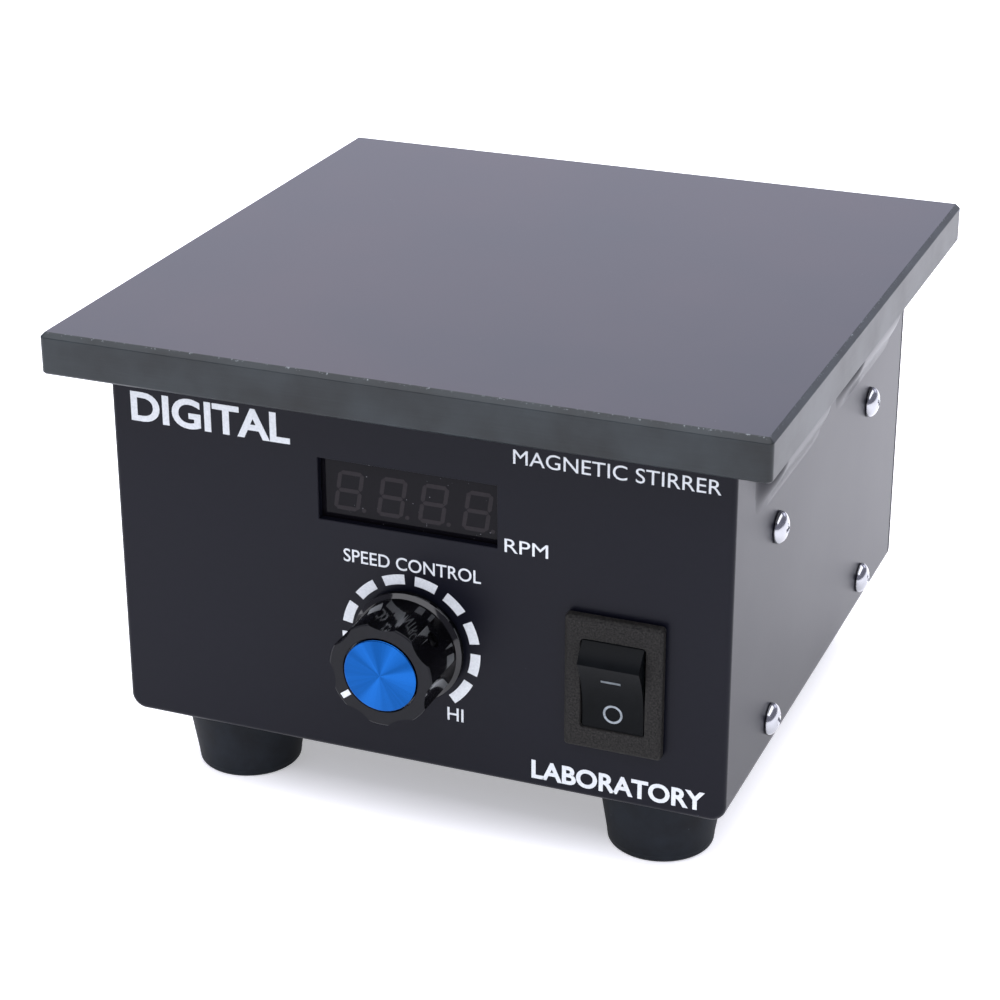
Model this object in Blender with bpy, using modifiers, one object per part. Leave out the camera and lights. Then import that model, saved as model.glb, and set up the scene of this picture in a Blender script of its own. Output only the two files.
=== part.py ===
"""Magnetic stirrer: square plate on a sheet-metal case with knob, display and rocker switch.

Sizes are in millimetres and are turned to metres when a mesh is made.  X points right,
Y points to the rear and Z points up.  The origin lies on the ground, in the middle of
the object's overall width and depth.
"""

import math

import bmesh
import bpy
from mathutils import Matrix, Vector

MM = 0.001
GAP = 0.3                      # clearance between pieces that touch

# Plate, case and feet
PLATE_SIZE = 160.0
PLATE_THICK = 9.4
PLATE_CHAMFER = 1.0
FRONT_OVERHANG = 11.1          # plate edge ahead of the front wall
CASE_WIDTH = 140.0
CASE_DEPTH = 139.2             # front wall to the back of the rear panel
CASE_HEIGHT = 83.0
WALL = 1.6
FRONT_WALL = 1.8
BEND_RADIUS = 3.5              # outer radius between the sides and the bottom
FRONT_EDGE_RADIUS = 1.2
FOOT_HEIGHT = 17.6
FOOT_TOP_RADIUS = 14.2
FOOT_BOTTOM_RADIUS = 11.7
FRONT_FOOT_X = 50.1
REAR_FOOT_X = 47.6             # the rear pair stands a little closer together
FOOT_INSET = 19.0              # foot centre behind the front wall, or ahead of the rear

# Front panel layout: x from the middle, height above the bottom of the case
KNOB_X = -0.6
KNOB_HEIGHT = 29.0
KNOB_OUT = 16.2                # knob cap ahead of the front wall
POINTER_ANGLE = -126.0         # clockwise from straight up, seen from the front
SWITCH_X = 45.7
SWITCH_HEIGHT = 28.4
WINDOW_X = -1.05
WINDOW_HEIGHT = 61.7
WINDOW_SIZE = (40.5, 14.0)

# Side walls: distance behind the front wall, height above the bottom of the case
SIDE_SCREW_INSET = 31.5
SIDE_SCREW_HEIGHTS = (9.1, 54.7)
LOUVRE_INSET = 38.7
LOUVRE_LENGTH = 52.0
LOUVRE_BOTTOM = 63.0
LOUVRE_RISE = 12.0
LOUVRE_OUT = 4.2
LOUVRE_END = 9.0

# Rocker switch
BEZEL_HALF = (10.7, 15.2)
BEZEL_EDGE = 2.0
BEZEL_RIM = 2.5
SWITCH_BODY_HALF = (9.2, 14.1)
SWITCH_BODY_DEPTH = 24.0
ROCKER_PIVOT = 6.3             # pivot behind the front wall's face
ROCKER_RADIUS = 13.2
ROCKER_HALF_WIDTH = 6.75
ROCKER_CORNER_ANGLE = 38.6
ROCKER_SAG = 1.4
ROCKER_TILT = 12.6             # each side of level

# Rotor under the plate
HOLDER_RADIUS = 28.0
MAGNET_RADIUS = 10.0
MAGNET_OFFSET = 15.5
MOTOR_RADIUS = 21.0

# Places that follow from the sizes above
TOTAL_DEPTH = PLATE_SIZE + KNOB_OUT - FRONT_OVERHANG
FRONT_Y = KNOB_OUT - TOTAL_DEPTH / 2
REAR_Y = FRONT_Y + CASE_DEPTH
PLATE_FRONT_Y = FRONT_Y - FRONT_OVERHANG
AXIS_Y = PLATE_FRONT_Y + PLATE_SIZE / 2
CASE_Z = FOOT_HEIGHT
PLATE_Z = CASE_Z + CASE_HEIGHT
RIM_Z = PLATE_Z - GAP
HALF_WIDTH = CASE_WIDTH / 2
SHELL_REAR_Y = REAR_Y - WALL - GAP
KNOB_Z = CASE_Z + KNOB_HEIGHT
SWITCH_Z = CASE_Z + SWITCH_HEIGHT
WINDOW_Z = CASE_Z + WINDOW_HEIGHT
WEB_Z = RIM_Z - WALL           # underside of the chassis web
HAT_TOP_Z = WEB_Z - GAP
SHELF_Z = 80.0                 # top of the shelf that carries the motor
HOLDER_TOP_Z = PLATE_Z - 2.3
BOARD_Z = 26.3


def clear_scene():
    for item in list(bpy.data.objects):
        bpy.data.objects.remove(item, do_unlink=True)


def new_collection(name):
    made = bpy.data.collections.new(name)
    bpy.context.scene.collection.children.link(made)
    return made


def new_material(name, colour, roughness, metallic=0.0):
    made = bpy.data.materials.new(name)
    made.use_nodes = True
    shader = made.node_tree.nodes["Principled BSDF"]
    shader.inputs["Base Color"].default_value = (*colour, 1.0)
    shader.inputs["Roughness"].default_value = roughness
    shader.inputs["Metallic"].default_value = metallic
    return made


clear_scene()
PARTS = new_collection("magnetic_stirrer")
CUTTERS = new_collection("cutters")

SLATE = new_material("plate_slate_grey", (0.19, 0.20, 0.24), 0.45)
PAINT = new_material("case_black_paint", (0.022, 0.023, 0.03), 0.38)
RUBBER = new_material("foot_black_rubber", (0.018, 0.02, 0.024), 0.7)
CHROME = new_material("screw_chrome", (0.75, 0.75, 0.76), 0.18, 1.0)
SMOKED = new_material("window_smoked_acrylic", (0.02, 0.018, 0.024), 0.12)
DIGITS = new_material("display_grey_plastic", (0.06, 0.055, 0.06), 0.5)
CIRCUIT = new_material("circuit_green", (0.02, 0.12, 0.05), 0.5)
STEEL = new_material("zinc_plated_steel", (0.55, 0.55, 0.56), 0.35, 1.0)
BRASS = new_material("nickelled_brass", (0.62, 0.58, 0.5), 0.3, 1.0)
KNOB_BLACK = new_material("knob_gloss_black", (0.015, 0.015, 0.017), 0.15)
CAP_BLUE = new_material("cap_blue_anodised", (0.01, 0.12, 0.6), 0.3, 1.0)
SWITCH_BLACK = new_material("switch_black_nylon", (0.035, 0.035, 0.037), 0.5)
COPPER = new_material("tinned_copper", (0.7, 0.6, 0.5), 0.35, 1.0)
NYLON = new_material("holder_white_nylon", (0.7, 0.7, 0.68), 0.5)
MAGNET = new_material("magnet_ferrite", (0.05, 0.05, 0.055), 0.45)
SHEATH = new_material("cable_grey_pvc", (0.12, 0.12, 0.13), 0.5)


def metres(point):
    return Vector(point) * MM


def at(x, y, z, turn=None):
    place = Matrix.Translation(metres((x, y, z)))
    return place @ turn if turn else place


FACING_FRONT = Matrix.Rotation(math.radians(90), 4, "X")     # local z leads out of the front
FACING_REAR = Matrix.Rotation(math.radians(-90), 4, "X")
FACING_RIGHT = Matrix.Rotation(math.radians(90), 4, "Y")
FACING_LEFT = Matrix.Rotation(math.radians(-90), 4, "Y")
FACING_DOWN = Matrix.Rotation(math.radians(180), 4, "X")
UPRIGHT = Matrix.Identity(4)


def on_front(x, z):
    return at(x, FRONT_Y, z, FACING_FRONT)


def place_part(item, finish, frame=UPRIGHT):
    item.matrix_world = frame
    item.data.materials.append(finish)
    PARTS.objects.link(item)
    return item


def place_cutter(item, frame=UPRIGHT):
    item.matrix_world = frame
    item.hide_render = True
    item.display_type = "WIRE"
    CUTTERS.objects.link(item)
    return item


def mesh_item(name, shape):
    data = bpy.data.meshes.new(name)
    shape.to_mesh(data)
    shape.free()
    return bpy.data.objects.new(name, data)


def add_block(shape, low, high):
    low, high = metres(low), metres(high)
    place = Matrix.Translation((low + high) / 2) @ Matrix.Diagonal((*(high - low), 1.0))
    bmesh.ops.create_cube(shape, size=1.0, matrix=place)


def block(low, high):
    shape = bmesh.new()
    add_block(shape, low, high)
    return shape


def add_rod(shape, radius, z_low, z_high, centre=(0.0, 0.0), steps=16, turn=UPRIGHT):
    """A round rod along local z, from z_low to z_high."""
    middle = Matrix.Translation(metres((centre[0], centre[1], (z_low + z_high) / 2)))
    bmesh.ops.create_cone(shape, cap_ends=True, segments=steps, radius1=radius * MM,
                          radius2=radius * MM, depth=(z_high - z_low) * MM, matrix=turn @ middle)


def rods(radius, z_low, z_high, centres, steps=16):
    shape = bmesh.new()
    for centre in centres:
        add_rod(shape, radius, z_low, z_high, centre, steps)
    return shape


def bevel_edges(shape, wanted, width, segments):
    """Rounds the edges whose two ends pass the test."""
    picked = [edge for edge in shape.edges if wanted(*(vert.co / MM for vert in edge.verts))]
    bmesh.ops.bevel(shape, geom=picked, offset=width * MM, offset_type="OFFSET", segments=segments,
                    profile=0.5, affect="EDGES")


def split_in_quarters(shape):
    """Cuts every face along local x = 0 and y = 0, so that later holes leave simple faces."""
    for normal in ((1, 0, 0), (0, 1, 0)):
        everything = shape.verts[:] + shape.edges[:] + shape.faces[:]
        bmesh.ops.bisect_plane(shape, geom=everything, plane_co=(0, 0, 0), plane_no=normal)
    return shape


def bevel_modifier(item, width, segments=2, angle=40):
    soft = item.modifiers.new("soft_edges", "BEVEL")
    soft.width = width * MM
    soft.segments = segments
    soft.limit_method = "ANGLE"
    soft.angle_limit = math.radians(angle)


def combine(item, other, operation, solver):
    step = item.modifiers.new(other.name, "BOOLEAN")
    step.object = other
    step.operation = operation
    step.solver = solver


def subtract(item, other, solver="EXACT"):
    combine(item, other, "DIFFERENCE", solver)


def unite(item, other, solver="EXACT"):
    combine(item, other, "UNION", solver)


def turned(name, profile, steps=24, closed=False):
    """Turns an outline of (radius, z) points about local z; the outer side runs down."""
    data = bpy.data.meshes.new(name)
    points = [metres((radius, 0.0, z)) for radius, z in profile]
    edges = [(index, index + 1) for index in range(len(points) - 1)]
    if closed:
        edges.append((len(points) - 1, 0))
    data.from_pydata(points, edges, [])
    item = bpy.data.objects.new(name, data)
    screw = item.modifiers.new("turn", "SCREW")
    screw.axis = "Z"
    screw.steps = steps
    screw.render_steps = steps
    screw.use_merge_vertices = True
    screw.merge_threshold = 0.00001
    screw.use_smooth_shade = True
    return item


def slab(name, outline, thickness, frame):
    """A flat outline of (x, y) points, thickened evenly about its own plane."""
    curve = bpy.data.curves.new(name, "CURVE")
    curve.dimensions = "2D"
    curve.fill_mode = "BOTH"
    curve.extrude = thickness * MM / 2
    spline = curve.splines.new("POLY")
    spline.points.add(len(outline) - 1)
    for point, (x, y) in zip(spline.points, outline):
        point.co = (x * MM, y * MM, 0.0, 1.0)
    spline.use_cyclic_u = True
    item = bpy.data.objects.new(name, curve)
    bpy.context.scene.collection.objects.link(item)
    solid = bpy.data.meshes.new_from_object(item.evaluated_get(bpy.context.evaluated_depsgraph_get()))
    bpy.data.objects.remove(item, do_unlink=True)
    shape = bmesh.new()
    shape.from_mesh(solid)
    bmesh.ops.remove_doubles(shape, verts=shape.verts, dist=0.00001)
    bmesh.ops.recalc_face_normals(shape, faces=shape.faces)
    shape.to_mesh(solid)
    shape.free()
    made = bpy.data.objects.new(name, solid)
    made.matrix_world = frame
    return made


def arc(centre, radius, start, end, count):
    """Points on an arc; angles in degrees, anticlockwise from +x."""
    sweep = [math.radians(start + (end - start) * index / count) for index in range(count + 1)]
    return [(centre[0] + radius * math.cos(a), centre[1] + radius * math.sin(a)) for a in sweep]


def hang_on(empty_name, location, items):
    """Parents the moving pieces to an empty that lies on their joint's axis."""
    empty = bpy.data.objects.new(empty_name, None)
    empty.empty_display_size = 0.02
    empty.location = metres(location)
    PARTS.objects.link(empty)
    for item in items:
        item.parent = empty
        item.matrix_parent_inverse = Matrix.Translation(-metres(location))


def screw_profile(head_radius, head_height, shank_radius, shank_length, dome_points):
    """Pan head above z = 0 and shank below it."""
    brim = head_height * 0.3
    rise = head_height - brim
    dome = []
    for index in range(dome_points + 1):
        angle = math.radians(90 * index / dome_points)
        dome.append((head_radius * math.sin(angle), brim + rise * math.cos(angle)))
    return dome + [(head_radius, 0.0), (shank_radius, 0.0), (shank_radius, -shank_length),
                   (0.0, -shank_length)]


def add_screw(name, frame, head=(3.6, 2.4), shank=(2.0, 8.0), finish=CHROME, cross=True):
    """A cross-recess machine screw; its head sits just off the surface at local z = 0."""
    seat = frame @ at(0.0, 0.0, GAP)
    profile = screw_profile(*head, *shank, dome_points=3 if cross else 2)
    item = place_part(turned(name, profile, 14 if cross else 10), finish, seat)
    if cross:
        half_bar, half_slot = head[0] * 0.52, head[0] * 0.13
        for label, (x, y) in (("bar_x", (half_bar, half_slot)), ("bar_y", (half_slot, half_bar))):
            recess = block((-x, -y, head[1] * 0.45), (x, y, head[1] + 1.0))
            subtract(item, place_cutter(mesh_item(f"{name}_{label}", recess), seat))
    return item


def both_insets(inset):
    """The same distance from the front wall and from the rear of the case."""
    return FRONT_Y + inset, REAR_Y - inset


def case_block(y_low, y_high, shrink, z_high, front_radius=0.0):
    """A block of the case's outline: flat sides and rounded lower edges."""
    x, z_low = HALF_WIDTH - shrink, CASE_Z + shrink
    shape = block((-x, y_low, z_low), (x, y_high, z_high))
    bevel_edges(shape, lambda a, b: abs(a.z - z_low) < 0.01 and abs(b.z - z_low) < 0.01
                and abs(a.y - b.y) > 1.0, BEND_RADIUS - shrink, 5)
    if front_radius:
        bevel_edges(shape, lambda a, b: abs(a.y - y_low) < 0.01 and abs(b.y - y_low) < 0.01
                    and not (a.z > z_high - 0.01 and b.z > z_high - 0.01), front_radius, 3)
    return shape


def louvre_shape(side, y, inner):
    """A long rounded bulge on a side wall, cut off flat along its open upper edge."""
    skin = 1.3 if inner else 0.0
    top = CASE_Z + LOUVRE_BOTTOM + LOUVRE_RISE
    shape = bmesh.new()
    bmesh.ops.create_uvsphere(shape, u_segments=12, v_segments=7, radius=1.0)
    out, end, rise = (LOUVRE_OUT - skin, LOUVRE_END - skin, LOUVRE_RISE - skin)
    straight = LOUVRE_LENGTH / 2 - LOUVRE_END
    for vert in shape.verts:
        x, z, along = vert.co
        shift = math.copysign(straight, along)
        wall = side * (HALF_WIDTH + x * out)
        vert.co = metres((wall, y + along * end + shift, top + z * rise))
    if side < 0:
        bmesh.ops.reverse_faces(shape, faces=shape.faces)
    bmesh.ops.reverse_faces(shape, faces=shape.faces)
    limit = top + (1.0 if inner else 0.0)
    cut = bmesh.ops.bisect_plane(shape, geom=shape.verts[:] + shape.edges[:] + shape.faces[:],
                                 plane_co=metres((0, 0, limit)), plane_no=(0, 0, 1), clear_outer=True)
    rim = [item for item in cut["geom_cut"] if isinstance(item, bmesh.types.BMEdge)]
    bmesh.ops.contextual_create(shape, geom=rim)
    bmesh.ops.recalc_face_normals(shape, faces=shape.faces)
    return shape


def make_plate():
    y_rear = PLATE_FRONT_Y + PLATE_SIZE
    half = PLATE_SIZE / 2
    top = PLATE_Z + PLATE_THICK
    shape = block((-half, PLATE_FRONT_Y, PLATE_Z), (half, y_rear, top))
    bevel_edges(shape, lambda a, b: abs(a.z - b.z) > 1.0, 1.2, 3)
    bevel_edges(shape, lambda a, b: a.z > top - 0.01 and b.z > top - 0.01, PLATE_CHAMFER, 1)
    bevel_edges(shape, lambda a, b: a.z < PLATE_Z + 0.01 and b.z < PLATE_Z + 0.01, 0.5, 1)
    plate = place_part(mesh_item("top_plate", shape), SLATE)
    corners = [(x, y) for x in (-52.0, 52.0) for y in (AXIS_Y - 40.0, AXIS_Y + 40.0)]
    holes = rods(2.3, PLATE_Z - 2.0, PLATE_Z + 6.7, corners, 12)
    subtract(plate, place_cutter(mesh_item("plate_tapped_holes", holes)))
    for number, (x, y) in enumerate(corners, 1):
        add_screw(f"plate_screw_{number}", at(x, y, WEB_Z, FACING_DOWN), head=(3.6, 2.2),
                  shank=(2.0, 8.0), finish=STEEL, cross=False)


def make_case():
    shell = mesh_item("case_shell", case_block(FRONT_Y, SHELL_REAR_Y, 0.0, RIM_Z, FRONT_EDGE_RADIUS))
    place_part(shell, PAINT)
    for side, label in ((-1, "left"), (1, "right")):
        for number, y in enumerate(both_insets(LOUVRE_INSET), 1):
            bulge = mesh_item(f"louvre_{label}_{number}_bulge", louvre_shape(side, y, False))
            unite(shell, place_cutter(bulge))
    cavity = case_block(FRONT_Y + FRONT_WALL, SHELL_REAR_Y - WALL, WALL, RIM_Z + 5.0)
    subtract(shell, place_cutter(mesh_item("case_cavity", cavity)))
    for side, label in ((-1, "left"), (1, "right")):
        for number, y in enumerate(both_insets(LOUVRE_INSET), 1):
            hollow = mesh_item(f"louvre_{label}_{number}_hollow", louvre_shape(side, y, True))
            subtract(shell, place_cutter(hollow))
    mouth = block((-56.4, SHELL_REAR_Y - 4.0, CASE_Z + 14.0), (56.4, SHELL_REAR_Y + 4.0, RIM_Z + 5.0))
    subtract(shell, place_cutter(mesh_item("rear_mouth", mouth)))

    half_x, half_z = WINDOW_SIZE[0] / 2, WINDOW_SIZE[1] / 2
    window = block((-half_x, -half_z, -3.0), (half_x, half_z, 3.0))
    subtract(shell, place_cutter(mesh_item("window_opening", window), on_front(WINDOW_X, WINDOW_Z)))
    bushing_hole = rods(4.7, -3.0, 3.0, [(0.0, 0.0)], 20)
    subtract(shell, place_cutter(mesh_item("bushing_hole", bushing_hole), on_front(KNOB_X, KNOB_Z)))
    x, y = SWITCH_BODY_HALF[0] + GAP, SWITCH_BODY_HALF[1] + GAP
    switch_hole = block((-x, -y, -3.0), (x, y, 3.0))
    subtract(shell, place_cutter(mesh_item("switch_hole", switch_hole), on_front(SWITCH_X, SWITCH_Z)))

    side_holes = [(-(CASE_Z + z), y) for z in SIDE_SCREW_HEIGHTS for y in both_insets(SIDE_SCREW_INSET)]
    drill = rods(2.3, -HALF_WIDTH - 3.0, HALF_WIDTH + 3.0, side_holes, 12)
    subtract(shell, place_cutter(mesh_item("side_screw_holes", drill), FACING_RIGHT))
    foot_holes = [(x, y) for _, x, y in foot_places()]
    drill = rods(2.3, CASE_Z - 3.0, CASE_Z + 4.0, foot_holes, 12)
    subtract(shell, place_cutter(mesh_item("foot_screw_holes", drill)))
    rear_holes = rods(1.8, -8.0, 3.0, rear_screw_places(), 12)
    subtract(shell, place_cutter(mesh_item("rear_flange_holes", rear_holes), at(0, REAR_Y, 0, FACING_REAR)))

    frames = ((-1, "left", FACING_LEFT), (1, "right", FACING_RIGHT))
    for side, label, turn in frames:
        places = [(y, CASE_Z + z) for z in SIDE_SCREW_HEIGHTS for y in both_insets(SIDE_SCREW_INSET)]
        for number, (y, z) in enumerate(places, 1):
            add_screw(f"side_screw_{label}_{number}", at(side * HALF_WIDTH, y, z, turn))


def rear_screw_places():
    """Seen from the rear, local x runs with world x and local y runs down."""
    return [(x, -z) for x in (-62.4, 62.4) for z in (CASE_Z + 12.0, CASE_Z + 71.0)]


def make_rear_panel():
    shape = case_block(REAR_Y - WALL, REAR_Y, 0.0, RIM_Z)
    panel = place_part(mesh_item("rear_panel", shape), PAINT)
    bevel_modifier(panel, 0.4, 1)
    frame = at(0, REAR_Y, 0, FACING_REAR)
    subtract(panel, place_cutter(mesh_item("rear_panel_holes", rods(1.8, -3, 3, rear_screw_places(), 12)),
                                 frame))
    for number, (x, y) in enumerate(rear_screw_places(), 1):
        add_screw(f"rear_screw_{number}", frame @ at(x, y, 0), head=(2.9, 1.9), shank=(1.5, 7.0))

    jack_x, jack_z = 40.0, CASE_Z + 26.0
    jack_frame = at(jack_x, REAR_Y, jack_z, FACING_REAR)
    subtract(panel, place_cutter(mesh_item("jack_hole", rods(5.8, -3, 3, [(0, 0)], 20)), jack_frame))
    pin, bore, flange, body = 1.05, 3.2, 7.0, 5.5
    profile = [(0, 1.8), (pin, 1.8), (pin, -7.5), (bore, -7.5), (bore, 2.3), (flange - 0.6, 2.3),
               (flange, 1.7), (flange, GAP), (body, GAP), (body, -14.0), (0, -14.0)]
    place_part(turned("power_jack", profile, 20), SWITCH_BLACK, jack_frame)
    nut = mesh_item("power_jack_nut", rods(8.1, -WALL - GAP - 2.4, -WALL - GAP, [(0, 0)], 6))
    place_part(nut, STEEL, jack_frame)
    bore_cut = mesh_item("jack_nut_bore", rods(body + GAP, -9, 3, [(0, 0)], 20))
    subtract(nut, place_cutter(bore_cut, jack_frame))


def foot_places():
    rows = zip(("front", "rear"), (FRONT_FOOT_X, REAR_FOOT_X), both_insets(FOOT_INSET))
    return [(f"{end}_{side}", way * x, y) for end, x, y in rows for side, way in (("left", -1), ("right", 1))]


def make_feet():
    top = CASE_Z - GAP
    hole, recess, seat = 2.3, 6.2, 9.3
    profile = [(hole, top), (FOOT_TOP_RADIUS, top), (FOOT_TOP_RADIUS, top - 0.8),
               (FOOT_BOTTOM_RADIUS, 1.0), (FOOT_BOTTOM_RADIUS - 0.8, 0.0), (recess, 0.0),
               (recess, seat), (hole, seat)]
    for label, x, y in foot_places():
        place_part(turned(f"rubber_foot_{label}", profile, 24, closed=True), RUBBER, at(x, y, 0))
        add_screw(f"foot_screw_{label}", at(x, y, seat, FACING_DOWN), head=(4.8, 2.4),
                  shank=(2.0, 14.5), finish=STEEL, cross=False)


def make_display():
    frame = on_front(WINDOW_X, WINDOW_Z)
    half_x, half_z = WINDOW_SIZE[0] / 2, WINDOW_SIZE[1] / 2
    lens_front = -FRONT_WALL - 0.25
    lens_back = lens_front - 2.0
    lens = block((-half_x - 2.3, -half_z - 2.2, lens_back), (half_x + 2.3, half_z + 2.2, lens_front))
    place_part(mesh_item("display_window", lens), SMOKED, frame)
    module_back = lens_back - GAP - 7.0
    module = block((-20.1, -6.4, module_back), (20.1, 6.4, lens_back - GAP))
    place_part(mesh_item("display_module", module), DIGITS, frame)
    board_front = module_back - GAP
    board = block((-30.0, -9.5, board_front - 1.6), (30.0, 9.5, board_front))
    place_part(mesh_item("display_board", board), CIRCUIT, frame)
    for label, x in (("left", -26.6), ("right", 26.6)):
        spacer = rods(2.5, board_front + GAP, -FRONT_WALL - GAP, [(x, 0.0)], 12)
        place_part(mesh_item(f"display_spacer_{label}", spacer), BRASS, frame)


def make_knob():
    turn = Matrix.Rotation(math.radians(-POINTER_ANGLE), 4, "Z")
    frame = on_front(KNOB_X, KNOB_Z) @ turn
    face, grip, skirt = KNOB_OUT - 0.3, 11.7, 12.6
    pocket, bore, shaft = 8.4, 3.3, 3.0
    profile = [(0, face - 1.1), (pocket, face - 1.1), (pocket, face), (grip - 0.25, face),
               (grip, face - 0.25), (grip, 4.6), (skirt, 2.3), (skirt, 0.6), (9.0, 0.6), (9.0, 4.0),
               (bore, 4.0), (bore, 13.4), (0, 13.4)]
    knob = place_part(turned("knob_body", profile, 42), KNOB_BLACK, frame)
    flutes, flute_depth, flute_radius = 7, 1.15, 7.6
    reach = grip - flute_depth + flute_radius
    shape = bmesh.new()
    for index in range(flutes):
        angle = math.radians(90 + 360 * (index + 0.5) / flutes)
        add_rod(shape, flute_radius, 4.6, 20.0, (reach * math.cos(angle), reach * math.sin(angle)), 36)
    subtract(knob, place_cutter(mesh_item("knob_flutes", shape), frame))

    # The set screw lies in the flute opposite the pointer, which points along local +y.
    across = frame @ at(0, 0, 8.0, Matrix.Rotation(math.radians(90), 4, "X"))
    subtract(knob, place_cutter(mesh_item("set_screw_hole", rods(1.7, 1.5, 14.0, [(0, 0)], 16)), across))
    flat = shaft - 0.5
    grub = place_part(mesh_item("knob_set_screw", rods(1.4, flat + GAP, 8.4, [(0, 0)], 12)), STEEL, across)
    subtract(grub, place_cutter(mesh_item("set_screw_slot", block((-2, -0.3, 7.4), (2, 0.3, 9.5))), across))

    cap_profile = [(0, KNOB_OUT), (7.95, KNOB_OUT), (8.2, KNOB_OUT - 0.25), (8.2, face - 0.8),
                   (0, face - 0.8)]
    cap = place_part(turned("knob_cap", cap_profile, 42), CAP_BLUE, frame)
    rod = place_part(mesh_item("potentiometer_shaft", rods(shaft, -8.7, 13.1, [(0, 0)], 20)), STEEL, frame)
    flat_cut = block((-5.0, -8.0, 4.2), (5.0, -flat, 20.0))
    subtract(rod, place_cutter(mesh_item("shaft_flat", flat_cut), frame))
    hang_on("knob_axis", (KNOB_X, FRONT_Y, KNOB_Z), (knob, grub, cap, rod))


def make_potentiometer():
    frame = on_front(KNOB_X, KNOB_Z)
    back = -FRONT_WALL - GAP
    profile = [(0, -9.0), (3.3, -9.0), (3.3, 3.6), (4.1, 3.6), (4.4, 3.3), (4.4, back), (12.0, back),
               (12.0, back - 10.0), (0, back - 10.0)]
    pot = place_part(turned("potentiometer", profile, 20), BRASS, frame)
    wafer = block((-7.5, -17.0, back - 8.6), (7.5, -9.0, back - 7.4))
    unite(pot, place_cutter(mesh_item("terminal_wafer", wafer), frame))
    nut = place_part(mesh_item("potentiometer_nut", rods(6.9, GAP, 2.3, [(0, 0)], 6)), STEEL, frame)
    subtract(nut, place_cutter(mesh_item("pot_nut_bore", rods(4.7, -1, 4, [(0, 0)], 20)), frame))


def rocker_outline():
    """Side outline of the rocker about its pivot: x leads outwards, y leads up when level."""
    corner, flank = ROCKER_CORNER_ANGLE, 64.0
    tip_x = ROCKER_RADIUS * math.cos(math.radians(corner))
    tip_y = ROCKER_RADIUS * math.sin(math.radians(corner))
    face = [(tip_x - ROCKER_SAG * (1 - (step / 4) ** 2), tip_y * step / 4) for step in range(-3, 4)]
    upper = arc((0, 0), ROCKER_RADIUS, corner, flank, 4)
    under = [(5.4, 10.4), (4.6, 4.0), (2.0, 3.0), (-2.4, 2.4)]
    lower_under = [(x, -y) for x, y in reversed(under)]
    lower = arc((0, 0), ROCKER_RADIUS, -flank, -corner, 4)
    return face + upper + under + lower_under + lower


def make_switch():
    frame = on_front(SWITCH_X, SWITCH_Z)
    bx, by = BEZEL_HALF
    shape = block((-bx, -by, GAP), (bx, by, BEZEL_EDGE))
    bevel_edges(shape, lambda a, b: abs(a.z - b.z) > 1.0, 0.8, 2)
    top = [face for face in shape.faces if face.normal.z > 0.9]
    bmesh.ops.inset_region(shape, faces=top, thickness=0.4 * MM, depth=0.25 * MM)
    bmesh.ops.inset_region(shape, faces=top, thickness=2.6 * MM, depth=(BEZEL_RIM - BEZEL_EDGE - 0.25) * MM)
    housing = place_part(mesh_item("switch_housing", split_in_quarters(shape)), SWITCH_BLACK, frame)
    sx, sy = SWITCH_BODY_HALF
    body = block((-sx, -sy, -SWITCH_BODY_DEPTH), (sx, sy, 1.2))
    unite(housing, place_cutter(mesh_item("switch_body", split_in_quarters(body)), frame), "MANIFOLD")

    # The rocker's ends sweep past the window's edges, so its well is round about the pivot.
    along_x = at(SWITCH_X, FRONT_Y + ROCKER_PIVOT, SWITCH_Z, FACING_RIGHT)
    half = ROCKER_HALF_WIDTH + 0.35
    well = split_in_quarters(rods(ROCKER_RADIUS + GAP, -half, half, [(0, 0)], 48))
    subtract(housing, place_cutter(mesh_item("rocker_well", well), along_x), "MANIFOLD")
    pivot_hole = rods(1.75, -8.4, 8.4, [(0, 0)], 12)
    subtract(housing, place_cutter(mesh_item("rocker_pivot_holes", pivot_hole), along_x), "MANIFOLD")
    for number, y in ((1, -7.0), (2, 7.0)):
        slot = block((-2.7, y - 0.7, -30.0), (2.7, y + 0.7, -SWITCH_BODY_DEPTH + 2.6))
        subtract(housing, place_cutter(mesh_item(f"terminal_slot_{number}", slot), frame), "MANIFOLD")
        blade = block((-2.4, y - 0.4, -SWITCH_BODY_DEPTH - 8.0), (2.4, y + 0.4, -SWITCH_BODY_DEPTH + 2.3))
        place_part(mesh_item(f"switch_terminal_{number}", blade), COPPER, frame)

    # Local x of the outline leads out of the front and local y leads up.
    lay = Matrix(((0, 0, -1, 0), (-1, 0, 0, 0), (0, 1, 0, 0), (0, 0, 0, 1)))
    tilt = Matrix.Rotation(math.radians(ROCKER_TILT), 4, "X")
    pivot = at(SWITCH_X, FRONT_Y + ROCKER_PIVOT, SWITCH_Z, tilt)
    rocker = slab("switch_rocker", rocker_outline(), ROCKER_HALF_WIDTH * 2, UPRIGHT)
    place_part(rocker, SWITCH_BLACK, pivot @ lay)
    stubs = rods(1.4, -8.0, 8.0, [(0, 0)], 12)
    unite(rocker, place_cutter(mesh_item("rocker_stubs", stubs), pivot @ FACING_RIGHT))
    hang_on("rocker_axis", (SWITCH_X, FRONT_Y + ROCKER_PIVOT, SWITCH_Z), (rocker,))


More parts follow.
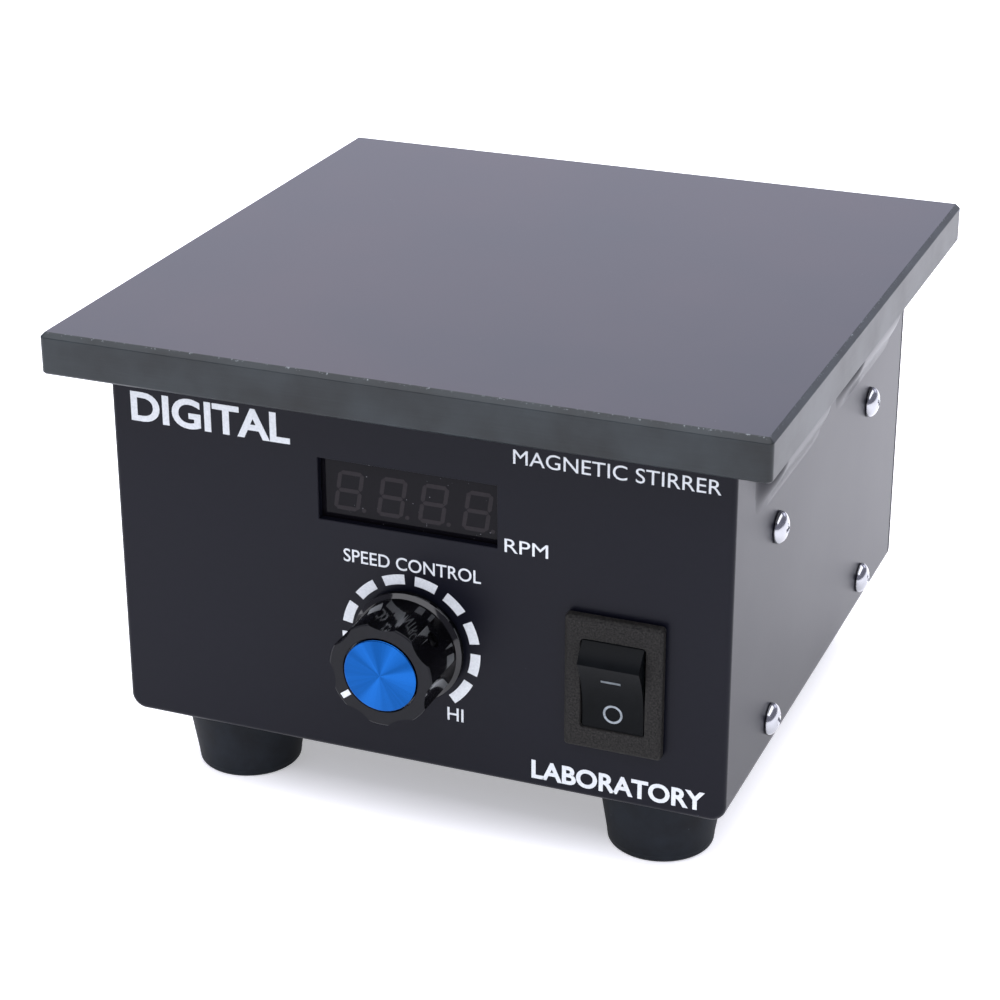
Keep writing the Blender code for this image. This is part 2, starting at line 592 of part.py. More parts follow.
def make_chassis():
    y_low, y_high = both_insets(18.0)
    x_out = HALF_WIDTH - WALL - GAP
    solid = block((-x_out, y_low, 21.0), (x_out, y_high, RIM_Z))
    bridge = place_part(mesh_item("chassis_bridge", solid), STEEL)
    x_in = x_out - WALL
    inside = block((-x_in, y_low - 5.0, 10.0), (x_in, y_high + 5.0, WEB_Z))
    subtract(bridge, place_cutter(mesh_item("chassis_inside", inside)))
    rotor_hole = rods(31.0, WEB_Z - 3.0, RIM_Z + 3.0, [(0, AXIS_Y)], 32)
    subtract(bridge, place_cutter(mesh_item("rotor_hole", rotor_hole)))
    places = [(x, y) for x in (-52.0, 52.0) for y in (AXIS_Y - 40.0, AXIS_Y + 40.0)]
    plate_holes = rods(2.3, WEB_Z - 3.0, RIM_Z + 3.0, places, 12)
    subtract(bridge, place_cutter(mesh_item("web_screw_holes", plate_holes)))
    shape = bmesh.new()
    for y in both_insets(LOUVRE_INSET):
        add_block(shape, (-80.0, y - 14.0, CASE_Z + 60.0), (80.0, y + 14.0, CASE_Z + 77.0))
    subtract(bridge, place_cutter(mesh_item("leg_windows", shape)))
    places = [(-(CASE_Z + z), y) for z in SIDE_SCREW_HEIGHTS for y in both_insets(SIDE_SCREW_INSET)]
    leg_holes = rods(2.3, -80.0, 80.0, places, 12)
    subtract(bridge, place_cutter(mesh_item("leg_screw_holes", leg_holes), FACING_RIGHT))

    low, high, inner, outer, brim = SHELF_Z - WALL, HAT_TOP_Z, 34.0, 34.0 + WALL, 46.0
    right = [(outer, low), (outer, high - WALL), (brim, high - WALL), (brim, high), (inner, high),
             (inner, SHELF_Z)]
    left = [(-x, z) for x, z in reversed(right)]
    bracket = slab("motor_bracket", right + left, 40.0, UPRIGHT)
    place_part(bracket, STEEL, at(0, AXIS_Y, 0, FACING_FRONT))
    drill = rods(9.0, SHELF_Z - 5.0, SHELF_Z + 5.0, [(0, AXIS_Y)], 20)
    subtract(bracket, place_cutter(mesh_item("motor_boss_hole", drill)))
    drill = rods(1.8, SHELF_Z - 5.0, SHELF_Z + 5.0, [(-14.0, AXIS_Y), (14.0, AXIS_Y)], 12)
    subtract(bracket, place_cutter(mesh_item("motor_screw_holes", drill)))


def make_motor():
    top = SHELF_Z - WALL - GAP
    axis = at(0, AXIS_Y, 0)
    profile = [(0, 56.0), (2.8, 56.0), (2.8, top + 1.4), (8.0, top + 1.4), (8.0, top),
               (MOTOR_RADIUS - 0.8, top), (MOTOR_RADIUS, top - 0.8),
               (MOTOR_RADIUS, 49.0), (MOTOR_RADIUS - 1.2, 47.0), (0, 47.0)]
    motor = place_part(turned("motor_housing", profile, 24), STEEL, axis)
    tapped = rods(1.8, 71.0, 90.0, [(-14.0, 0), (14.0, 0)], 12)
    subtract(motor, place_cutter(mesh_item("motor_tapped_holes", tapped), axis))
    for number, x in ((1, -14.0), (2, 14.0)):
        add_screw(f"motor_screw_{number}", at(x, AXIS_Y, SHELF_Z), head=(2.9, 1.8), shank=(1.5, 8.0),
                  finish=STEEL, cross=False)
    rod = place_part(mesh_item("motor_shaft", rods(2.5, 56.3, 93.0, [(0, 0)], 16)), STEEL, axis)

    top = HOLDER_TOP_Z
    profile = [(0, top), (HOLDER_RADIUS - 1.0, top), (HOLDER_RADIUS, top - 1.0), (HOLDER_RADIUS, 87.0),
               (HOLDER_RADIUS - 1.0, 86.0), (7.0, 86.0), (7.0, 84.0), (2.8, 84.0), (2.8, 93.3), (0, 93.3)]
    holder = place_part(turned("magnet_holder", profile, 32), NYLON, axis)
    centres = [(-MAGNET_OFFSET, 0), (MAGNET_OFFSET, 0)]
    pockets = rods(MAGNET_RADIUS + GAP, top - 8.3, top + 3.0, centres, 20)
    subtract(holder, place_cutter(mesh_item("magnet_pockets", pockets), axis))
    moving = [rod, holder]
    for number, centre in enumerate(centres, 1):
        disc = mesh_item(f"drive_magnet_{number}", rods(MAGNET_RADIUS, top - 8.0, top, [centre], 20))
        moving.append(place_part(disc, MAGNET, axis))
    hang_on("rotor_axis", (0, AXIS_Y, SHELF_Z), moving)


def make_controller():
    y_low, y_high = FRONT_Y + 45.0, FRONT_Y + 115.0
    thick = 1.6
    sheet = block((-45.0, y_low, BOARD_Z), (45.0, y_high, BOARD_Z + thick))
    board = place_part(mesh_item("controller_board", sheet), CIRCUIT)
    sunk = BOARD_Z + thick - 0.5
    connectors = (((-26.0, y_low + 4.0), (-14.0, y_low + 10.0)),
                  ((28.0, AXIS_Y - 4.0), (36.0, AXIS_Y + 4.0)),
                  ((24.0, y_high - 14.0), (36.0, y_high - 6.0)))
    for number, (low, high) in enumerate(connectors, 1):
        body = block((*low, sunk), (*high, BOARD_Z + thick + 7.0))
        unite(board, place_cutter(mesh_item(f"board_connector_{number}", body)))
    for number, (x, y) in enumerate(((-34.0, AXIS_Y), (-34.0, AXIS_Y + 14.0)), 1):
        body = rods(4.0, sunk, BOARD_Z + thick + 10.0, [(x, y)], 12)
        unite(board, place_cutter(mesh_item(f"board_capacitor_{number}", body)))
    chip = block((-12.0, AXIS_Y - 24.0, sunk), (2.0, AXIS_Y - 12.0, BOARD_Z + thick + 1.6))
    unite(board, place_cutter(mesh_item("board_processor", chip)))
    corners = [(x, y) for x in (-40.0, 40.0) for y in (y_low + 5.0, y_high - 5.0)]
    for number, corner in enumerate(corners, 1):
        post = rods(3.0, CASE_Z + WALL + GAP, BOARD_Z - GAP, [corner], 12)
        place_part(mesh_item(f"board_standoff_{number}", post), NYLON)


def smooth_route(points, per_span):
    """Points along a Catmull-Rom curve through the given points."""
    ends = [points[0]] + list(points) + [points[-1]]
    route = []
    for index in range(len(points) - 1):
        a, b, c, d = (Vector(point) for point in ends[index:index + 4])
        for step in range(per_span):
            t = step / per_span
            route.append(0.5 * (2 * b + (c - a) * t + (2 * a - 5 * b + 4 * c - d) * t ** 2
                                + (3 * b - a - 3 * c + d) * t ** 3))
    return route + [Vector(points[-1])]


def make_cable(name, points, diameter):
    curve = bpy.data.curves.new(name, "CURVE")
    curve.dimensions = "3D"
    curve.bevel_depth = diameter * MM / 2
    curve.bevel_resolution = 1
    curve.use_fill_caps = True
    route = smooth_route(points, 3)
    spline = curve.splines.new("POLY")
    spline.points.add(len(route) - 1)
    for point, place in zip(spline.points, route):
        point.co = (*(place * MM), 1.0)
    place_part(bpy.data.objects.new(name, curve), SHEATH)


def make_cables():
    board_top = BOARD_Z + 1.6 + 7.0 + GAP
    motor_route = [(MOTOR_RADIUS + GAP, AXIS_Y, 58.0), (26.0, AXIS_Y, 57.2), (31.0, AXIS_Y, 52.0),
                   (32.0, AXIS_Y, 44.0), (32.0, AXIS_Y, board_top)]
    make_cable("motor_cable", motor_route, 4.0)
    back = FRONT_Y + FRONT_WALL + 0.25 + 2.0 + GAP + 7.0 + GAP + 1.6 + GAP
    target = FRONT_Y + 52.0
    display_route = [(-20.0, back, WINDOW_Z - 3.0), (-20.0, back + 6.0, WINDOW_Z - 4.0),
                     (-20.0, back + 16.0, WINDOW_Z - 14.0), (-20.0, back + 26.0, 50.0),
                     (-20.0, target - 2.0, 42.0), (-20.0, target, board_top)]
    make_cable("display_cable", display_route, 3.6)


def main():
    make_plate()
    make_case()
    make_rear_panel()
    make_feet()
    make_display()
    make_potentiometer()
    make_knob()
    make_switch()
    make_chassis()
    make_motor()
    make_controller()
    make_cables()


main()
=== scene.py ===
# Magnetic stirrer: the looks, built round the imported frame.
# Lengths in the dictionaries are millimetres and angles are degrees, unless a note says otherwise.

import math
import random

import bmesh
import bpy
from mathutils import Matrix, Vector


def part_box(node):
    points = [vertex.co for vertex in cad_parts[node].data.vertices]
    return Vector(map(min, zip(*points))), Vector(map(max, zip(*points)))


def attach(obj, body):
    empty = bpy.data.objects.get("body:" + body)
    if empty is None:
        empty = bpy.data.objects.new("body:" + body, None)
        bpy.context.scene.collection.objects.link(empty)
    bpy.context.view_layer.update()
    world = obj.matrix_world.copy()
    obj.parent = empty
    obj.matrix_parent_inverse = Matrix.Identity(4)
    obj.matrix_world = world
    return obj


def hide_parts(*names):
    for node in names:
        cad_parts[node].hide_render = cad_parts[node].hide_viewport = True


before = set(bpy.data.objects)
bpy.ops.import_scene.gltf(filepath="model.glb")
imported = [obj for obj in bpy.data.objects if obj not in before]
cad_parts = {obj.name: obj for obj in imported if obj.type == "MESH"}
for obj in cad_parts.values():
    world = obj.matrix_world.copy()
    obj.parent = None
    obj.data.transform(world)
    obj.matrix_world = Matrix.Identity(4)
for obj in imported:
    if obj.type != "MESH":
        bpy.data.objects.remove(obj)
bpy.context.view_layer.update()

chance = random.Random(7)


def nodeBox(node):
    low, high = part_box(node)
    return low * 1000, high * 1000


def nodeMiddle(node):
    low, high = nodeBox(node)
    return (low + high) / 2


def deselectAll():
    if bpy.context.object and bpy.context.object.mode != "OBJECT":
        bpy.ops.object.mode_set(mode="OBJECT")
    bpy.ops.object.select_all(action="DESELECT")


def makeActive(piece):
    deselectAll()
    piece.select_set(True)
    bpy.context.view_layer.objects.active = piece


def nameActive(name):
    piece = bpy.context.object
    piece.name = name
    piece.data.name = name
    return piece


def placeAt(x, y, z, turn=None):
    place = Matrix.Translation(Vector((x, y, z)) / 1000)
    return place @ turn if turn else place


def settle(piece, place):
    piece.data.transform(place)        # the place goes into the mesh and the object stays at the origin
    piece.data.update()
    return piece


def addBox(name, low, high, place=None):
    low, high = Vector(low) / 1000, Vector(high) / 1000
    deselectAll()
    bpy.ops.mesh.primitive_cube_add(size=1, location=(low + high) / 2, scale=high - low)
    bpy.ops.object.transform_apply(location=True, rotation=True, scale=True)
    piece = nameActive(name)
    return settle(piece, place) if place else piece


def addRod(name, radius, low, high, place=None, centre=(0, 0), steps=64):
    deselectAll()
    middle = Vector((centre[0], centre[1], (low + high) / 2)) / 1000
    bpy.ops.mesh.primitive_cylinder_add(vertices=steps, radius=radius / 1000, depth=(high - low) / 1000,
                                        location=middle)
    bpy.ops.object.transform_apply(location=True, rotation=True, scale=True)
    piece = nameActive(name)
    return settle(piece, place) if place else piece


def pickEdges(piece, test):
    # both ends are handed to the test in millimetres
    makeActive(piece)
    bpy.ops.object.mode_set(mode="EDIT")
    bpy.ops.mesh.select_mode(type="EDGE")
    bpy.ops.mesh.select_all(action="DESELECT")
    shape = bmesh.from_edit_mesh(piece.data)
    for edge in shape.edges:
        if test(edge.verts[0].co * 1000, edge.verts[1].co * 1000):
            edge.select_set(True)
    bmesh.update_edit_mesh(piece.data)


def pickFaces(piece, test):
    makeActive(piece)
    bpy.ops.object.mode_set(mode="EDIT")
    bpy.ops.mesh.select_mode(type="FACE")
    bpy.ops.mesh.select_all(action="DESELECT")
    shape = bmesh.from_edit_mesh(piece.data)
    for face in shape.faces:
        if test(face.calc_center_median() * 1000, face.normal):
            face.select_set(True)
    bmesh.update_edit_mesh(piece.data)


def bevelPicked(width, segments):
    bpy.ops.mesh.bevel(offset=width / 1000, segments=segments, affect="EDGES")
    bpy.ops.object.mode_set(mode="OBJECT")


def applyLast(piece):
    makeActive(piece)
    bpy.ops.object.modifier_apply(modifier=piece.modifiers[-1].name)


def softenEdges(piece, width, segments=2, angle=35):
    bevel = piece.modifiers.new("softEdges", "BEVEL")
    bevel.width = width / 1000
    bevel.segments = segments
    bevel.limit_method = "ANGLE"
    bevel.angle_limit = math.radians(angle)
    bevel.use_clamp_overlap = True
    applyLast(piece)
    return piece


def combine(piece, other, operation):
    step = piece.modifiers.new(other.name, "BOOLEAN")
    step.object = other
    step.operation = operation
    step.solver = "EXACT"
    applyLast(piece)
    bpy.data.objects.remove(other, do_unlink=True)


def cutAway(piece, other):
    combine(piece, other, "DIFFERENCE")


def joinAll(name, pieces):
    makeActive(pieces[0])
    for piece in pieces:
        piece.select_set(True)
    bpy.ops.object.join()
    return nameActive(name)


def copyPiece(piece, name, place):
    twin = piece.copy()
    twin.data = piece.data.copy()
    twin.name = name
    twin.data.name = name
    bpy.context.collection.objects.link(twin)
    return settle(twin, place)


def turnProfile(name, profile, place=None, steps=96):
    # one point is drawn along the half outline, and the line is spun about local z
    deselectAll()
    bpy.ops.mesh.primitive_plane_add(size=0.001)
    piece = nameActive(name)
    bpy.ops.object.mode_set(mode="EDIT")
    bpy.ops.mesh.select_mode(type="VERT")
    bpy.ops.mesh.select_all(action="SELECT")
    bpy.ops.mesh.merge(type="CENTER")
    points = [Vector((radius, 0, z)) / 1000 for radius, z in profile]
    bpy.ops.transform.translate(value=points[0])
    for here, there in zip(points, points[1:]):
        bpy.ops.mesh.extrude_region_move(TRANSFORM_OT_translate={"value": there - here})
    bpy.ops.mesh.select_all(action="SELECT")
    bpy.ops.mesh.spin(steps=steps, angle=2 * math.pi, center=(0, 0, 0), axis=(0, 0, 1))
    bpy.ops.mesh.select_all(action="SELECT")
    bpy.ops.mesh.remove_doubles(threshold=0.000002)
    bpy.ops.mesh.normals_make_consistent(inside=False)
    bpy.ops.object.mode_set(mode="OBJECT")
    return settle(piece, place) if place else piece


def roundedCorner(centreR, centreZ, radius, start, end, count=5):
    angles = [math.radians(start + (end - start) * step / count) for step in range(count + 1)]
    return [(centreR + radius * math.cos(a), centreZ + radius * math.sin(a)) for a in angles]


def finishPiece(piece, body, materials, stands=(), smooth=35, weighted=False):
    for material in materials:
        piece.data.materials.append(material)
    makeActive(piece)
    bpy.ops.object.shade_smooth_by_angle(angle=math.radians(smooth))
    if weighted:
        even = piece.modifiers.new("evenNormals", "WEIGHTED_NORMAL")
        even.keep_sharp = True
        applyLast(piece)
    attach(piece, body)
    if stands:
        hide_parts(*stands)
    return piece


facingFront = Matrix.Rotation(math.radians(90), 4, "X")      # local z leads out of the front
facingRear = Matrix.Rotation(math.radians(-90), 4, "X")
facingRight = Matrix.Rotation(math.radians(90), 4, "Y")
facingLeft = Matrix.Rotation(math.radians(-90), 4, "Y")

shellLow, shellHigh = nodeBox("case_shell")
panelHigh = nodeBox("rear_panel")[1]
plateLow, plateHigh = nodeBox("top_plate")
frontY, rearY = shellLow.y, panelHigh.y
caseBottom, halfCase = shellLow.z, panelHigh.x
closeTo = 0.01        # how near a point has to be to count as on a face


def onFront(x, height):
    return placeAt(x, frontY, caseBottom + height, facingFront)


def linear(hexColour):
    parts = [int(hexColour[i:i + 2], 16) / 255 for i in (1, 3, 5)]
    return (*(p / 12.92 if p <= 0.04045 else ((p + 0.055) / 1.055) ** 2.4 for p in parts), 1)


def perMetre(size):
    return 1000 / size        # texture scale for a feature of that many millimetres


def addNode(tree, kind, settings=None, links=None):
    node = tree.nodes.new(kind)
    for key, value in (settings or {}).items():
        if isinstance(key, int) or key in node.inputs:
            node.inputs[key].default_value = value
        else:
            setattr(node, key, value)
    for key, socket in (links or {}).items():
        tree.links.new(socket, node.inputs[key])
    return node


def newMaterial(name, **constants):
    material = bpy.data.materials.new(name)
    material.use_nodes = True
    tree = material.node_tree
    shader = tree.nodes["Principled BSDF"]
    for key, value in constants.items():
        shader.inputs[key.replace("_", " ")].default_value = value
    place = addNode(tree, "ShaderNodeTexCoord").outputs["Object"]
    return material, tree, shader, place


def mixColours(tree, mask, first, second):
    # first where the mask is 0 and second where it is 1; each is a hex colour or a socket
    mix = addNode(tree, "ShaderNodeMix", {"data_type": "RGBA"}, {0: mask})
    for index, colour in ((6, first), (7, second)):
        if isinstance(colour, str):
            mix.inputs[index].default_value = linear(colour)
        else:
            tree.links.new(colour, mix.inputs[index])
    return mix.outputs[2]


def mottle(tree, place, size, detail=3.0, stretch=None, roughness=0.55):
    if stretch:
        place = addNode(tree, "ShaderNodeMapping", {"Scale": stretch}, {"Vector": place}).outputs[0]
    noise = addNode(tree, "ShaderNodeTexNoise",
                    {"Scale": perMetre(size), "Detail": detail, "Roughness": roughness}, {"Vector": place})
    return noise.outputs["Fac"]


def rescale(tree, value, low, high, toLow, toHigh):
    settings = {"From Min": low, "From Max": high, "To Min": toLow, "To Max": toHigh}
    return addNode(tree, "ShaderNodeMapRange", settings, {"Value": value}).outputs[0]


def addBump(tree, shader, height, depth):
    bump = addNode(tree, "ShaderNodeBump", {"Strength": 1.0, "Distance": depth / 1000}, {"Height": height})
    tree.links.new(bump.outputs[0], shader.inputs["Normal"])


def specksOver(tree, place, look):
    # small round specks, one in each cell of the spread, that fade out over the given reach of the cell
    cells = addNode(tree, "ShaderNodeTexVoronoi", {"Scale": perMetre(look["speckSpread"])}, {"Vector": place})
    near, far = look["speckReach"]
    return rescale(tree, cells.outputs["Distance"], near, far, look["speckAmount"], 0)


paint = {"colour": "#0b0c14", "patch": "#0d0e17", "lint": "#3a3c48", "roughness": 0.33, "peel": 0.45,
         "peelDepth": 0.0035, "cloud": 40, "speckSpread": 9, "speckReach": (0.012, 0.02),
         "speckAmount": 0.5}


def powderCoatedSteel():
    # baked black powder coat: a soft sheen with very fine orange peel and a few specks of lint
    material, tree, shader, place = newMaterial("powderCoatedSteel", IOR=1.5, Specular_IOR_Level=0.11)
    cloud = mottle(tree, place, paint["cloud"], 4)
    body = mixColours(tree, cloud, paint["colour"], paint["patch"])
    speck = specksOver(tree, place, paint)
    tree.links.new(mixColours(tree, speck, body, paint["lint"]), shader.inputs["Base Color"])
    tree.links.new(rescale(tree, cloud, 0.3, 0.7, paint["roughness"] - 0.01, paint["roughness"] + 0.01),
                   shader.inputs["Roughness"])
    addBump(tree, shader, mottle(tree, place, paint["peel"], 2), paint["peelDepth"])
    return material


slate = {"colour": "#1f2129", "patch": "#2a272e", "roughness": 0.36, "grain": 0.30, "grainDepth": 0.002,
         "cloud": 60, "dust": "#6d6e78", "speckSpread": 7, "speckReach": (0.012, 0.022),
         "speckAmount": 0.55}


def slatePaintedSteel():
    # slate-grey lacquer on the plate's face: satin, faintly clouded, with fine dust
    material, tree, shader, place = newMaterial("slatePaintedSteel", IOR=1.5, Specular_IOR_Level=0.36)
    cloud = mottle(tree, place, slate["cloud"], 5)
    body = mixColours(tree, rescale(tree, cloud, 0.35, 0.65, 0, 1), slate["colour"], slate["patch"])
    speck = specksOver(tree, place, slate)
    tree.links.new(mixColours(tree, speck, body, slate["dust"]), shader.inputs["Base Color"])
    tree.links.new(rescale(tree, cloud, 0.3, 0.7, slate["roughness"] - 0.008, slate["roughness"] + 0.012),
                   shader.inputs["Roughness"])
    addBump(tree, shader, mottle(tree, place, slate["grain"], 2), slate["grainDepth"])
    return material


rim = {"dark": "#0a0e0f", "light": "#20272a", "worn": "#7c8286", "roughness": 0.42, "line": 0.4,
       "lineShare": 0.45, "lineStretch": (0.03, 0.03, 1), "lineDepth": 0.004, "smudge": 14, "fleck": 0.6,
       "fleckAmount": 0.7, "arris": (0.42, 0.2)}


def blackenedSteelEdge():
    # sawn and blackened plate edge: greenish grey with fine lines along it, rubbed bright at the arris
    material, tree, shader, place = newMaterial("blackenedSteelEdge", IOR=1.5, Specular_IOR_Level=0.30)
    lines = mottle(tree, place, rim["line"], 3, rim["lineStretch"])
    smudge = rescale(tree, mottle(tree, place, rim["smudge"], 5), 0.3, 0.7, -0.1, 0.75)
    blend = addNode(tree, "ShaderNodeMath", {"operation": "MULTIPLY_ADD", 1: rim["lineShare"]},
                    {0: lines, 2: smudge}).outputs[0]
    body = mixColours(tree, blend, rim["dark"], rim["light"])
    height = addNode(tree, "ShaderNodeSeparateXYZ", {}, {"Vector": place}).outputs["Z"]
    low, high = ((plateHigh.z - depth) / 1000 for depth in rim["arris"])
    arris = rescale(tree, height, low, high, 0, 1)
    fleck = rescale(tree, mottle(tree, place, rim["fleck"], 4), 0.60, 0.66, 0, rim["fleckAmount"])
    worn = addNode(tree, "ShaderNodeMath", {"operation": "MULTIPLY"}, {0: arris, 1: fleck}).outputs[0]
    tree.links.new(mixColours(tree, worn, body, rim["worn"]), shader.inputs["Base Color"])
    tree.links.new(rescale(tree, blend, 0.2, 0.8, rim["roughness"] + 0.015, rim["roughness"] - 0.015),
                   shader.inputs["Roughness"])
    addBump(tree, shader, lines, rim["lineDepth"])
    return material


rubber = {"dark": "#0b0e12", "light": "#1b2026", "dust": "#4d5257", "roughness": 0.6, "smudge": 9,
          "grain": 0.35, "grainDepth": 0.006, "speckSpread": 4, "speckReach": (0.02, 0.05),
          "speckAmount": 0.8}


def mouldedRubber():
    # black moulded rubber: matt, chalky where it has been handled, with a few pale specks
    material, tree, shader, place = newMaterial("mouldedRubber", IOR=1.5, Specular_IOR_Level=0.15)
    smudge = mottle(tree, place, rubber["smudge"], 6, roughness=0.65)
    body = mixColours(tree, rescale(tree, smudge, 0.32, 0.68, 0, 1), rubber["dark"], rubber["light"])
    chalk = specksOver(tree, place, rubber)
    tree.links.new(mixColours(tree, chalk, body, rubber["dust"]), shader.inputs["Base Color"])
    tree.links.new(rescale(tree, smudge, 0.3, 0.7, rubber["roughness"] - 0.04, rubber["roughness"] + 0.06),
                   shader.inputs["Roughness"])
    addBump(tree, shader, mottle(tree, place, rubber["grain"], 3), rubber["grainDepth"])
    return material


metalLooks = {
    "chromedSteel": {"low": "#96979b", "high": "#a9aaae", "rough": (0.14, 0.22), "size": 3, "depth": 0.001,
                     "stretch": None},
    "zincPlatedSteel": {"low": "#9b9da2", "high": "#b9bbbf", "rough": (0.30, 0.42), "size": 5, "depth": 0.004,
                        "stretch": (1, 6, 1)},
    "nickelledBrass": {"low": "#b3a98f", "high": "#cdc5b0", "rough": (0.22, 0.32), "size": 4, "depth": 0.002,
                       "stretch": None},
    "tinnedCopper": {"low": "#b59c86", "high": "#cfc3b8", "rough": (0.28, 0.40), "size": 2, "depth": 0.003,
                     "stretch": (1, 1, 6)},
}


def platedMetal(name):
    # thin bright plating: clear reflections over faint rolling or turning marks
    look = metalLooks[name]
    material, tree, shader, place = newMaterial(name, Metallic=1.0)
    cloud = mottle(tree, place, look["size"], 4, look["stretch"])
    tree.links.new(mixColours(tree, cloud, look["low"], look["high"]), shader.inputs["Base Color"])
    tree.links.new(rescale(tree, cloud, 0.3, 0.7, *look["rough"]), shader.inputs["Roughness"])
    addBump(tree, shader, mottle(tree, place, look["size"] / 8, 3, look["stretch"]), look["depth"])
    return material


plasticLooks = {
    # fine spark-eroded texture on a dark frame: matt with a sandy grain
    "sparkErodedNylon": {"low": "#0a0a0a", "high": "#2c2b29", "rough": (0.62, 0.74), "size": 0.42,
                         "depth": 0.035, "level": 0.12},
    # smooth moulded rocker: even satin
    "satinNylon": {"low": "#07090a", "high": "#0a0c0e", "rough": (0.28, 0.33), "size": 6, "depth": 0.003,
                   "level": 0.05},
    # polished phenolic knob: deep black with clear reflections
    "polishedPhenolic": {"low": "#050506", "high": "#08080a", "rough": (0.06, 0.10), "size": 8,
                         "depth": 0.001, "level": 0.4},
    # the knob's faced end: the same black, rubbed satin
    "facedPhenolic": {"low": "#0c0d11", "high": "#101115", "rough": (0.34, 0.40), "size": 1.2,
                      "depth": 0.003, "level": 0.14},
    # white display filler and other moulded inner parts
    "naturalNylon": {"low": "#cfccc2", "high": "#e0ded6", "rough": (0.42, 0.52), "size": 3, "depth": 0.006,
                     "level": 0.5},
    "displayPolystyrene": {"low": "#2c2a2f", "high": "#343237", "rough": (0.45, 0.55), "size": 2,
                           "depth": 0.004, "level": 0.4},
    # ground ferrite: dull dark grey with a fine sugary grain
    "groundFerrite": {"low": "#2f3034", "high": "#45464b", "rough": (0.40, 0.58), "size": 0.6, "depth": 0.010,
                      "level": 0.6},
    # soft cable sheath
    "softPvc": {"low": "#4a4b50", "high": "#56575c", "rough": (0.42, 0.50), "size": 2, "depth": 0.006,
                "level": 0.5},
    # screen-printed white ink: thin, slightly uneven
    "whiteScreenInk": {"low": "#bec3c5", "high": "#cfd3d5", "rough": (0.42, 0.55), "size": 0.5,
                       "depth": 0.004, "level": 0.4},
    "greyPadInk": {"low": "#81898e", "high": "#8f979c", "rough": (0.42, 0.55), "size": 0.5, "depth": 0.003,
                   "level": 0.4},
}


def mouldedPlastic(name):
    look = plasticLooks[name]
    material, tree, shader, place = newMaterial(name, IOR=1.5, Specular_IOR_Level=look["level"])
    cloud = mottle(tree, place, look["size"], 3)
    spread = rescale(tree, cloud, 0.3, 0.7, 0, 1)
    tree.links.new(mixColours(tree, spread, look["low"], look["high"]), shader.inputs["Base Color"])
    tree.links.new(rescale(tree, cloud, 0.3, 0.7, *look["rough"]), shader.inputs["Roughness"])
    addBump(tree, shader, mottle(tree, place, min(look["size"], 0.5), 3), look["depth"])
    return material


lens = {"colour": "#0b0a0e", "haze": "#100f13", "dust": "#8f8e94", "roughness": 0.07, "speckSpread": 1.25,
        "speckReach": (0.05, 0.09), "speckAmount": 0.8}


def smokedAcrylic():
    # cast smoked sheet: nearly black and glossy, with specks of dust on it
    material, tree, shader, place = newMaterial("smokedAcrylic", IOR=1.49, Specular_IOR_Level=0.08)
    body = mixColours(tree, mottle(tree, place, 6, 3), lens["colour"], lens["haze"])
    thin = rescale(tree, mottle(tree, place, 5, 2), 0.44, 0.56, 0, 1)
    speck = specksOver(tree, place, lens)
    amount = addNode(tree, "ShaderNodeMath", {"operation": "MULTIPLY"}, {0: speck, 1: thin}).outputs[0]
    tree.links.new(mixColours(tree, amount, body, lens["dust"]), shader.inputs["Base Color"])
    tree.links.new(rescale(tree, amount, 0, 0.5, lens["roughness"], 0.5), shader.inputs["Roughness"])
    return material


# cap: the light colour is painted highlight, laid over the darker blue in radial fans
cap = {"colour": "#0b3a70", "light": "#1957a0", "roughness": 0.26, "groove": 0.12, "paintedFans": 1.5}


def spunAnodisedAluminium():
    # blue anodised disc faced on a lathe: a radial tangent stretches its real reflections into fans, and fans
    # of painted highlight, with fine turning rings, are also painted into the blue
    material, tree, shader, place = newMaterial("spunAnodisedAluminium", Metallic=1.0, Anisotropic=0.85,
                                                Roughness=cap["roughness"])
    middle = nodeMiddle("knob_cap") / 1000
    centred = addNode(tree, "ShaderNodeVectorMath", {"operation": "SUBTRACT", 1: middle},
                      {0: place}).outputs[0]
    flat = addNode(tree, "ShaderNodeVectorMath", {"operation": "MULTIPLY", 1: (1, 0, 1)},
                   {0: centred}).outputs[0]
    reach = addNode(tree, "ShaderNodeVectorMath", {"operation": "LENGTH"}, {0: flat}).outputs["Value"]
    around = addNode(tree, "ShaderNodeVectorMath", {"operation": "CROSS_PRODUCT", 1: (0, 1, 0)}, {0: flat})
    tangent = addNode(tree, "ShaderNodeVectorMath", {"operation": "NORMALIZE"}, {0: around.outputs[0]})
    tree.links.new(tangent.outputs[0], shader.inputs["Tangent"])
    rings = addNode(tree, "ShaderNodeMath", {"operation": "SINE"},
                    {0: rescale(tree, reach, 0, 0.001, 0, 2 * math.pi / cap["groove"])}).outputs[0]
    outward = addNode(tree, "ShaderNodeVectorMath", {"operation": "NORMALIZE"}, {0: flat}).outputs[0]
    paintedFans = addNode(tree, "ShaderNodeTexNoise", {"Scale": cap["paintedFans"], "Detail": 5.0}, {"Vector": outward})
    # painted highlight: the fans and the fine rings mix the blue towards the light colour
    shade = addNode(tree, "ShaderNodeMath", {"operation": "MULTIPLY_ADD", 1: 0.07},
                    {0: rings, 2: rescale(tree, paintedFans.outputs["Fac"], 0.36, 0.64, 0.05, 0.8)}).outputs[0]
    tree.links.new(mixColours(tree, shade, cap["colour"], cap["light"]), shader.inputs["Base Color"])
    return material


board = {"mask": "#1c5a35", "trace": "#2a7446", "pad": "#b9b6a6", "tracks": 6, "traceDepth": 0.03,
         "speckSpread": 5, "speckReach": (0.10, 0.13), "speckAmount": 1}


